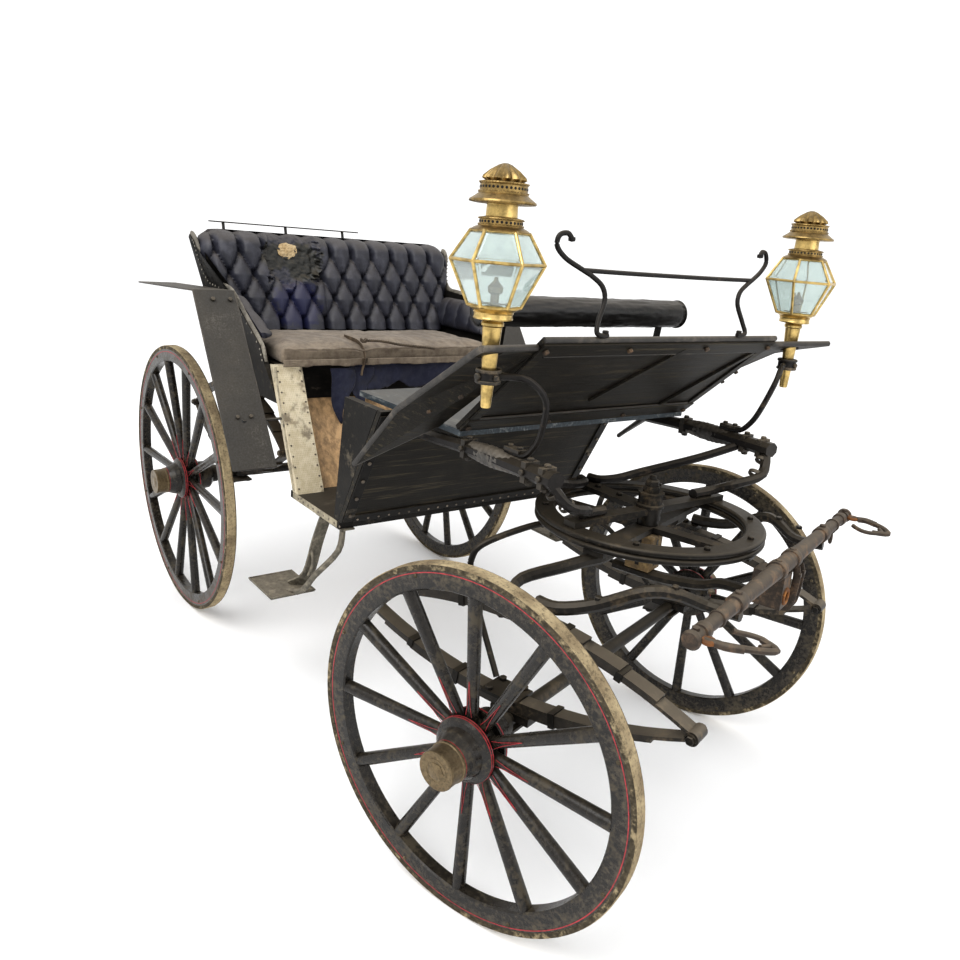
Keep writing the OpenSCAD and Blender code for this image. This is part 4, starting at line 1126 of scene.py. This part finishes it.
# %% [markdown]
# The rein rail is a bar between two S-shaped posts. Each post stands on the dash's edge,
# bends inward, sweeps out past the bar, and ends in a small curl.
# %% Rein rail
RAIL = [(0.949, 0.268, 1.462), (0.951, 0.292, 1.4615), (0.948, 0.306, 1.47), (0.94, 0.297, 1.498),
        (0.931, 0.274, 1.548),
        (0.926, 0.283, 1.582), (0.921, 0.318, 1.606), (0.915, 0.352, 1.622), (0.905, 0.398, 1.645),
        (0.9, 0.425, 1.672),
        (0.899, 0.419, 1.698), (0.902, 0.396, 1.704), (0.905, 0.384, 1.692)]
rail = Shape()
for side in (-1, 1):
    rail.tube(curve(mirrored(RAIL, side), 7), 0.0066)
    rail.turned([(0, 0), (0.0085, 0.001), (0.0095, 0.006), (0.0085, 0.011), (0, 0.013)],
                (0.905, side * 0.384, 1.697), DOWN, 12)
    rail.bolt((0.949, side * 0.276, 1.467), UP, 0.0085)
rail.tube(curve([(0.9165, -0.345, 1.619), (0.918, -0.15, 1.6175), (0.918, 0.15, 1.6175),
                 (0.9165, 0.345, 1.619)]), 0.006)
rail.piece("rein_rail_bars", "black_iron", "black_iron", replaces=("rein_rail",))
print("rein rail bent")

# %% [markdown]
# The fore-carriage is blacksmith's work: two round hoops turn on each other, straps are
# bolted across them, and the springs are clipped to their axle. Its parts are laid out in
# its own frame, with the kingpin at the middle, and ride with it when it steers.
# %% Turntable hoops, clips and bolts
RING_Z, RING_R = 0.9304, 0.32


def hoop(shape, radius, z, thick, sides=120):
    shape.tube(circle(radius, z, sides), thick, closed=True)


def spring_clip(shape, x, y, low, high, rod_end):
    """Two U-bolts and two plates that clamp a spring, between the heights of its plates."""
    for end in (-0.035, 0.035):
        for way in (-0.032, 0.032):
            shape.tube([(x + end, y + way, low - 0.0085), (x + end, y + way, rod_end)], 0.0062, 8)
            shape.bolt((x + end, y + way, high + 0.0055), UP, 0.0105)
            shape.bolt((x + end, y + way, low - 0.0005), DOWN, 0.0105)
    shape.block((x, y, high), (1, 0, 0), UP, (0.11, 0.084, 0.009))
    shape.block((x, y, low), (1, 0, 0), UP, (0.11, 0.084, 0.008))


AXLE_X, SPRING_HALF, SPRING_MID_Z = -0.115, 0.515, 0.6324
upper = Shape(Matrix.Translation((KINGPIN_X, 0, 0)))
hoop(upper, RING_R, RING_Z + 0.0095, 0.009)
hoop(upper, RING_R - 0.042, RING_Z + 0.0095, 0.0078)
for p in circle(0.299, RING_Z + 0.018, 10, math.pi / 10):
    upper.bolt(p, UP, 0.0095)
for y in (-0.265, -0.2, 0.2, 0.265):
    upper.bolt((0, y, RING_Z + 0.036), UP, 0.011)
for x in (-0.29, -0.21, -0.12):
    upper.bolt((x, 0.0, RING_Z + 0.032), UP, 0.01)
upper.turned([(0.013, 0.0), (0.038, 0.0), (0.038, 0.004), (0.013, 0.004), (0.013, 0)],
             (0, 0, RING_Z + 0.0755), UP, 40)
upper.turned([(0, 0), (0.021, 0), (0.021, 0.014), (0.017, 0.018), (0, 0.018)], (0, 0, RING_Z + 0.098), UP, 6)
upper.turned([(0, 0), (0.01, 0), (0.009, 0.012), (0, 0.014)], (0, 0, RING_Z + 0.115), UP, 20)
upper.turned([(0.035, 0), (0.041, 0.002), (0.041, 0.01), (0.035, 0.013), (0.035, 0)], (0, 0, RING_Z + 0.034),
             UP, 40)
upper.piece("turntable_hoops", "dusty_iron", "dusty_iron")

lower = Shape(FORE)
hoop(lower, RING_R, RING_Z - 0.0096, 0.0086)
hoop(lower, RING_R - 0.042, RING_Z - 0.0096, 0.0076)
for side in (-1, 1):
    y = side * 0.484
    spring_clip(lower, AXLE_X, y, 0.4465, 0.5285, 0.541)
    for x in (-0.155, -0.075):
        lower.bolt((x, y, 0.7865), UP, 0.0115)
        lower.bolt((x, y, 0.736), DOWN, 0.0105)
    for end in (-1, 1):
        eye_x = AXLE_X + end * SPRING_HALF
        lower.turned([(0.013, -0.034), (0.013, 0.034)], (eye_x, y, SPRING_MID_Z), (0, 1, 0), 20)
        for way in (-1, 1):
            lower.bolt((eye_x, y + way * 0.028, SPRING_MID_Z), (0, way, 0), 0.012)
            for share, lift, slant, high in ((0.3, 0.1143, 0.126, 0.04), (0.62, 0.0745, 0.26, 0.024)):
                slope = -end * way * slant
                lower.block((AXLE_X + end * SPRING_HALF * share, y, SPRING_MID_Z + way * lift),
                            (1, 0, slope), (-slope, 0, 1), (0.018, 0.053, high))
    lower.bolt((0.1, side * 0.449, 0.848), UP, 0.011)
    for x, yy in ((0.262, 0.381), (0.335, 0.341)):
        lower.bolt((x, side * yy, 0.9105), UP, 0.0095)
stay = [(-0.19, -0.15, 0.905), (-0.25, -0.24, 0.89), (-0.33, -0.345, 0.84), (-0.352, -0.365, 0.79),
        (-0.356, -0.352, 0.744)]
for side in (-1, 1):
    lower.tube(curve(mirrored(stay, -side)), 0.0095)
    lower.tube(curve(mirrored([(-0.356, 0.352, 0.744), (-0.3, 0.4, 0.7), (-0.17, 0.455, 0.536)], side)),
               0.0085)
lower.piece("forecarriage_irons", "dusty_iron", "dusty_iron", "forecarriage")

block = Shape(FORE)
block.block((0.0, 0.0, 0.832), (1, 0, 0), UP, (0.078, 0.072, 0.104))
block.block((0.0, 0.0, 0.888), (1, 0, 0), UP, (0.094, 0.088, 0.01))
block.piece("kingpin_block", "ochre_wood", "rusty_iron", "forecarriage", bevel=0.003)
# Painted shade: two thin black-iron strips on the wood block's faces stand in for the shade inside its slits.
gap_shade = Shape(FORE)
gap_shade.block((0.0392, 0.0, 0.835), (1, 0, 0), UP, (0.0012, 0.012, 0.078))
gap_shade.block((0.0, -0.0362, 0.835), (0, 1, 0), UP, (0.0012, 0.012, 0.078))
gap_shade.piece("kingpin_block_gap_shade", "black_iron", "rusty_iron", "forecarriage")
print("turntable hoops made")

# %% [markdown]
# The splinter bar carries the horse's traces. Its ends are ferrules with eyes, and forged
# hooks hang from them; a ring and two straps hang near the pole socket.
# %% Splinter bar fittings
BAR_X, BAR_Z = 0.4, 0.9104
HOOK = [(0.52, 0.538, 0.913), (0.532, 0.512, 0.911), (0.512, 0.49, 0.9095), (0.485, 0.487, 0.909),
        (0.462, 0.498, 0.911), (0.45, 0.505, 0.914)]
HOOK_SHANK = [(0.446, 0.588, 0.9125), (0.47, 0.59, 0.9145), (0.5, 0.575, 0.9145)]
FERRULES = ((0.06, 0.026, 0.03), (0.345, 0.0225, 0.046), (0.465, 0.0195, 0.008), (0.548, 0.019, 0.03))
fittings = Shape(FORE)


def eye(shape, at, axis, radius, thick):
    axis = Vector(axis).normalized()
    side = axis.orthogonal().normalized()
    other = axis.cross(side)
    shape.tube([Vector(at) + side * p.x + other * p.y for p in circle(radius)], thick, 8, up=axis,
               closed=True)


for side in (-1, 1):
    for y, r, wide in FERRULES:
        fittings.turned([(r * 0.8, 0), (r, 0.001), (r + 0.001, 0.003), (r + 0.001, wide - 0.003),
                         (r, wide - 0.001),
                         (r * 0.8, wide)], (BAR_X, side * y - wide / 2, BAR_Z), (0, 1, 0), 28)
    fittings.turned([(0, 0), (0.012, 0), (0.021, 0.004), (0.0225, 0.012), (0.018, 0.019), (0, 0.021)],
                    (BAR_X, side * 0.596, BAR_Z), (0, side, 0), 24)
    fittings.bolt((BAR_X, side * 0.59, BAR_Z + 0.017), UP, 0.009)
    for y in (0.345, 0.06):
        fittings.bolt((BAR_X, side * y, BAR_Z + 0.022), UP)
    fittings.tube(curve(mirrored(HOOK, side)), 0.0062)
    fittings.tube(curve(mirrored(HOOK_SHANK, side), 5), 0.0092)
eye(fittings, (BAR_X, 0.47, BAR_Z - 0.04), (1, 0.4, 0), 0.0175, 0.0042)
eye(fittings, (BAR_X, 0.47, BAR_Z - 0.016), (0, 1, 0), 0.0085, 0.0036)
for y in (0.052, 0.086):
    path = curve([(0.418, y, 0.896), (0.424, y, 0.868), (0.421, y * 1.05, 0.815), (0.412, y * 1.1, 0.776),
                  (0.388, y * 1.1, 0.768)], 5)
    fittings.tube(path, 0.0115, 6, 0.34, (0, 1, 0))
    fittings.bolt((0.4285, y, 0.874), (1, 0, 0), 0.0075)
    fittings.bolt((0.4195, y * 1.1, 0.792), (1, 0, 0), 0.0075)
fittings.tube(curve([(0.33, 0.028, 0.8), (0.365, 0.055, 0.798), (0.405, 0.066, 0.792)], 5), 0.008, 8)
fittings.piece("splinter_bar_fittings", "rusty_iron", "rusty_iron", "forecarriage")

rust = Shape(FORE)
for side in (-1, 1):
    eye(rust, (0.43, side * 0.589, 0.9125), UP, 0.012, 0.0058)
eye(rust, (0.4165, 0, 0.8244), (1, 0, 0), 0.0195, 0.0052)
rust.turned([(0.015, 0.0), (0.015, 0.083)], (0.3325, 0, 0.8244), (1, 0, 0), 32)
rust.piece("rusty_eyes", "orange_rust", "rusty_iron", "forecarriage")
print("splinter bar fitted")

# %% [markdown]
# Long irons reach forward from the body to the turntable. Each has a bolted root plate, a
# leather wrap where passengers' boots would scrape it, and clips where stays are fixed. The
# lamp irons end in sockets that grip the lamp stems with a collar and a screw.
# %% Body arm wraps, clips and lamp sockets
ARM = [Vector(p) for p in ((0.305, 0.463, 1.097), (0.461, 0.463, 1.099), (0.681, 0.459, 1.111),
                           (1.01, 0.449, 1.111))]


def on_arm(x):
    for a, b in zip(ARM, ARM[1:]):
        if x <= b.x:
            return a.lerp(b, (x - a.x) / (b.x - a.x))
    return ARM[-1].copy()


arm_irons, wraps = Shape(), Shape()
for side in (-1, 1):
    flip = lambda p: Vector((p.x, side * p.y, p.z))
    for k, x in enumerate((0.66, 0.912, 0.975)):
        p = flip(on_arm(x))
        high = 0.056 if k else 0.052
        arm_irons.block(p, (1, 0, 0), UP, (0.018, 0.048, high))
        arm_irons.bolt(p + UP * (high / 2), UP, 0.0095)
        arm_irons.bolt(p + DOWN * (high / 2), DOWN, 0.0105)
        arm_irons.bolt(p + Vector((0, side * 0.026, 0)), (0, side, 0), 0.0085)
    for x in (0.335, 0.395):
        arm_irons.bolt(flip(on_arm(x)) + Vector((0, side * 0.016, 0)), (0, side, 0), 0.0105)
        arm_irons.bolt(flip(on_arm(x)) + UP * 0.019, UP, 0.0105)
    arm_irons.block(flip(Vector((0.318, 0.463, 1.097))), (1, 0, 0.25), UP, (0.03, 0.07, 0.06))
    rings = []
    for i in range(61):
        share = i / 60
        p = flip(on_arm(0.676 + 0.205 * share))
        full = 0.8 + 0.2 * math.sin(math.pi * min(1, share * 1.15)) + 0.02 * math.sin(70 * share + 1.5)
        ring = []
        for k in range(28):
            a = 2 * math.pi * k / 28
            lump = full * (1 + 0.05 * rough(share * 9, math.cos(a) * 2, math.sin(a) * 2, side))
            ring.append(p + Vector((0, 0.0255 * lump * math.cos(a), 0.029 * lump * math.sin(a))))
        rings.append(ring)
    wraps.skin(rings)
    for p in mirrored([(0.99, 0.44, 1.08), (1.000, 0.4, 1.045)], side):
        arm_irons.turned([(0.019, 0), (0.0215, 0.002), (0.0215, 0.012), (0.019, 0.014), (0.019, 0)],
                         p, (0.1, -side * 0.5, -0.6), 18)
    socket = lamp_middle("right" if side < 0 else "left") + DOWN * 0.06
    for z in (0.0, 0.026):
        arm_irons.turned([(0.027, 0), (0.0305, 0.001), (0.0315, 0.004), (0.0305, 0.008), (0.027, 0.009)],
                         socket + Vector((0, 0, z)), UP, 36)
    arm_irons.bolt(socket + Vector((0.0, side * 0.028, 0.017)), (0, side, 0), 0.0095)
    arm_irons.bolt(socket + Vector((0.028, 0, 0.017)), (1, 0, 0), 0.008)
    arm_irons.block(Vector((0.845, side * 0.45, 1.1515)), (1, 0, 0), UP, (0.06, 0.03, 0.01))
    for x in (0.826, 0.864):
        arm_irons.bolt(Vector((x, side * 0.45, 1.156)), UP, 0.0085)
arm_irons.piece("arm_clips_and_sockets", "spring_iron", "dusty_iron", bevel=0.001)
wraps.piece("arm_wraps", "arm_leather", "black_leather", crease=70)
print("arms wrapped and clipped")

# %% [markdown]
# Last come the small parts of the sides: rims and bolts on the mudguards, a round edge and
# raised studs on the step treads, a brace on each step, and clips on the rear springs.
# %% Mudguard rims, step treads and rear clips
GUARD_FRONT = [(-0.29, 0.8115), (-0.5, 1.0995), (-0.7125, 1.3915)]
GUARD_TOP = [(-0.7145, 1.3925), (-1.05, 1.375), (-1.4, 1.3575)]
guards = Shape()
for side in (-1, 1):
    for y in (0.5985, 0.7555):
        bent = lambda points: curve([(x, side * y, z) for x, z in points], 3)
        guards.tube(bent(GUARD_FRONT) + bent(GUARD_TOP), 0.0032, 6)
    guards.tube([(-0.2895, side * 0.598, 0.812), (-0.2895, side * 0.756, 0.812)], 0.0036, 6)
    guards.tube([(-1.3995, side * 0.598, 1.3575), (-1.3995, side * 0.756, 1.3575)], 0.0034, 6)
guards.piece("mudguard_rims", "worn_binding", "mudguard_leather", crease=60)

REAR_AXLE_X, REAR_SPRING_Y = -1.05, 0.44
small = Shape()
face = Vector((0.809, 0, 0.588))
for side in (-1, 1):
    for y in (0.624, 0.69):
        small.bolt(Vector((-0.69, side * y, 1.3605)) + face * 0.004, face, 0.0085, 12)
    for y in (0.65, 0.7):
        small.bolt(Vector((-0.405, side * y, 0.973)) + face * 0.003, face, 0.0075, 12)
    for end in (-1, 1):
        for way in (-1, 1):
            small.bolt((REAR_AXLE_X + end * 0.5, side * REAR_SPRING_Y + way * 0.027, 0.7829), (0, way, 0),
                       0.012)
    spring_clip(small, REAR_AXLE_X, side * REAR_SPRING_Y, 0.5405, 0.6265, 0.64)
small.piece("guard_and_spring_bolts", "spring_iron", "dusty_iron")

treads = Shape()
for side in (-1, 1):
    corners = [(-0.21, 0.565), (-0.02, 0.565), (-0.02, 0.725), (-0.21, 0.725)]
    treads.tube([Vector((x, side * y, 0.4365)) for x, y in corners], 0.0035, 6, closed=True)
    for i in range(9):
        for k in range(7):
            treads.stud((-0.198 + 0.021 * i + (0.0105 if k % 2 else 0), side * (0.578 + 0.0225 * k), 0.4355),
                        UP, 0.004)
    brace = [(-0.075, 0.555, 0.56), (-0.055, 0.56, 0.52), (-0.045, 0.58, 0.48)]
    treads.tube(curve(mirrored(brace, side), 4), 0.0055, 8)
treads.piece("step_treads", "tread_plate", "dusty_iron", crease=60)
print("sides finished")

# %% [markdown]
# The stage is a plain pale floor and soft light from large panels: one big key from the
# upper left, a weaker one from the right, and a pale sky that fills the shadows.
# %% Floor and light
floor_mesh = bpy.data.meshes.new("studio_floor")
floor_mesh.from_pydata([(-60, -60, 0), (60, -60, 0), (60, 60, 0), (-60, 60, 0)], [], [(0, 1, 2, 3)])
floor_stage = bpy.data.objects.new("studio_floor", floor_mesh)
bpy.context.scene.collection.objects.link(floor_stage)
pale = Finish("studio floor", 0.9)
pale.set("Base Color", (0.97, 0.97, 0.97, 1))
floor_mesh.materials.append(pale.material)
floor_stage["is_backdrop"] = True

sky = bpy.data.worlds.new("studio")
sky.use_nodes = True
sky.node_tree.nodes["Background"].inputs["Color"].default_value = (1.0, 1.0, 1.0, 1)
sky.node_tree.nodes["Background"].inputs["Strength"].default_value = 1.0
bpy.context.scene.world = sky
bpy.context.scene.view_settings.view_transform = "Standard"
bpy.context.scene.view_settings.look = "Medium High Contrast"


def panel(name, at, toward, size, power):
    light = bpy.data.lights.new(name, "AREA")
    light.shape, light.size, light.energy = "SQUARE", size, power
    lamp = bpy.data.objects.new(name, light)
    lamp.location = at
    lamp.rotation_euler = (Vector(toward) - Vector(at)).to_track_quat("-Z", "Y").to_euler()
    bpy.context.scene.collection.objects.link(lamp)


panel("key_light", (1.5, -4.5, 5.5), (0, 0, 0.8), 4.0, 230)
panel("fill_light", (5.5, 1.5, 3.0), (0, 0, 0.8), 4.0, 60)
print("stage is lit")

visual_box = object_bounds()
sizes = {"cad": [list(map(float, corner)) for corner in cad_box],
         "visual": [list(map(float, corner)) for corner in visual_box]}
print(sizes)
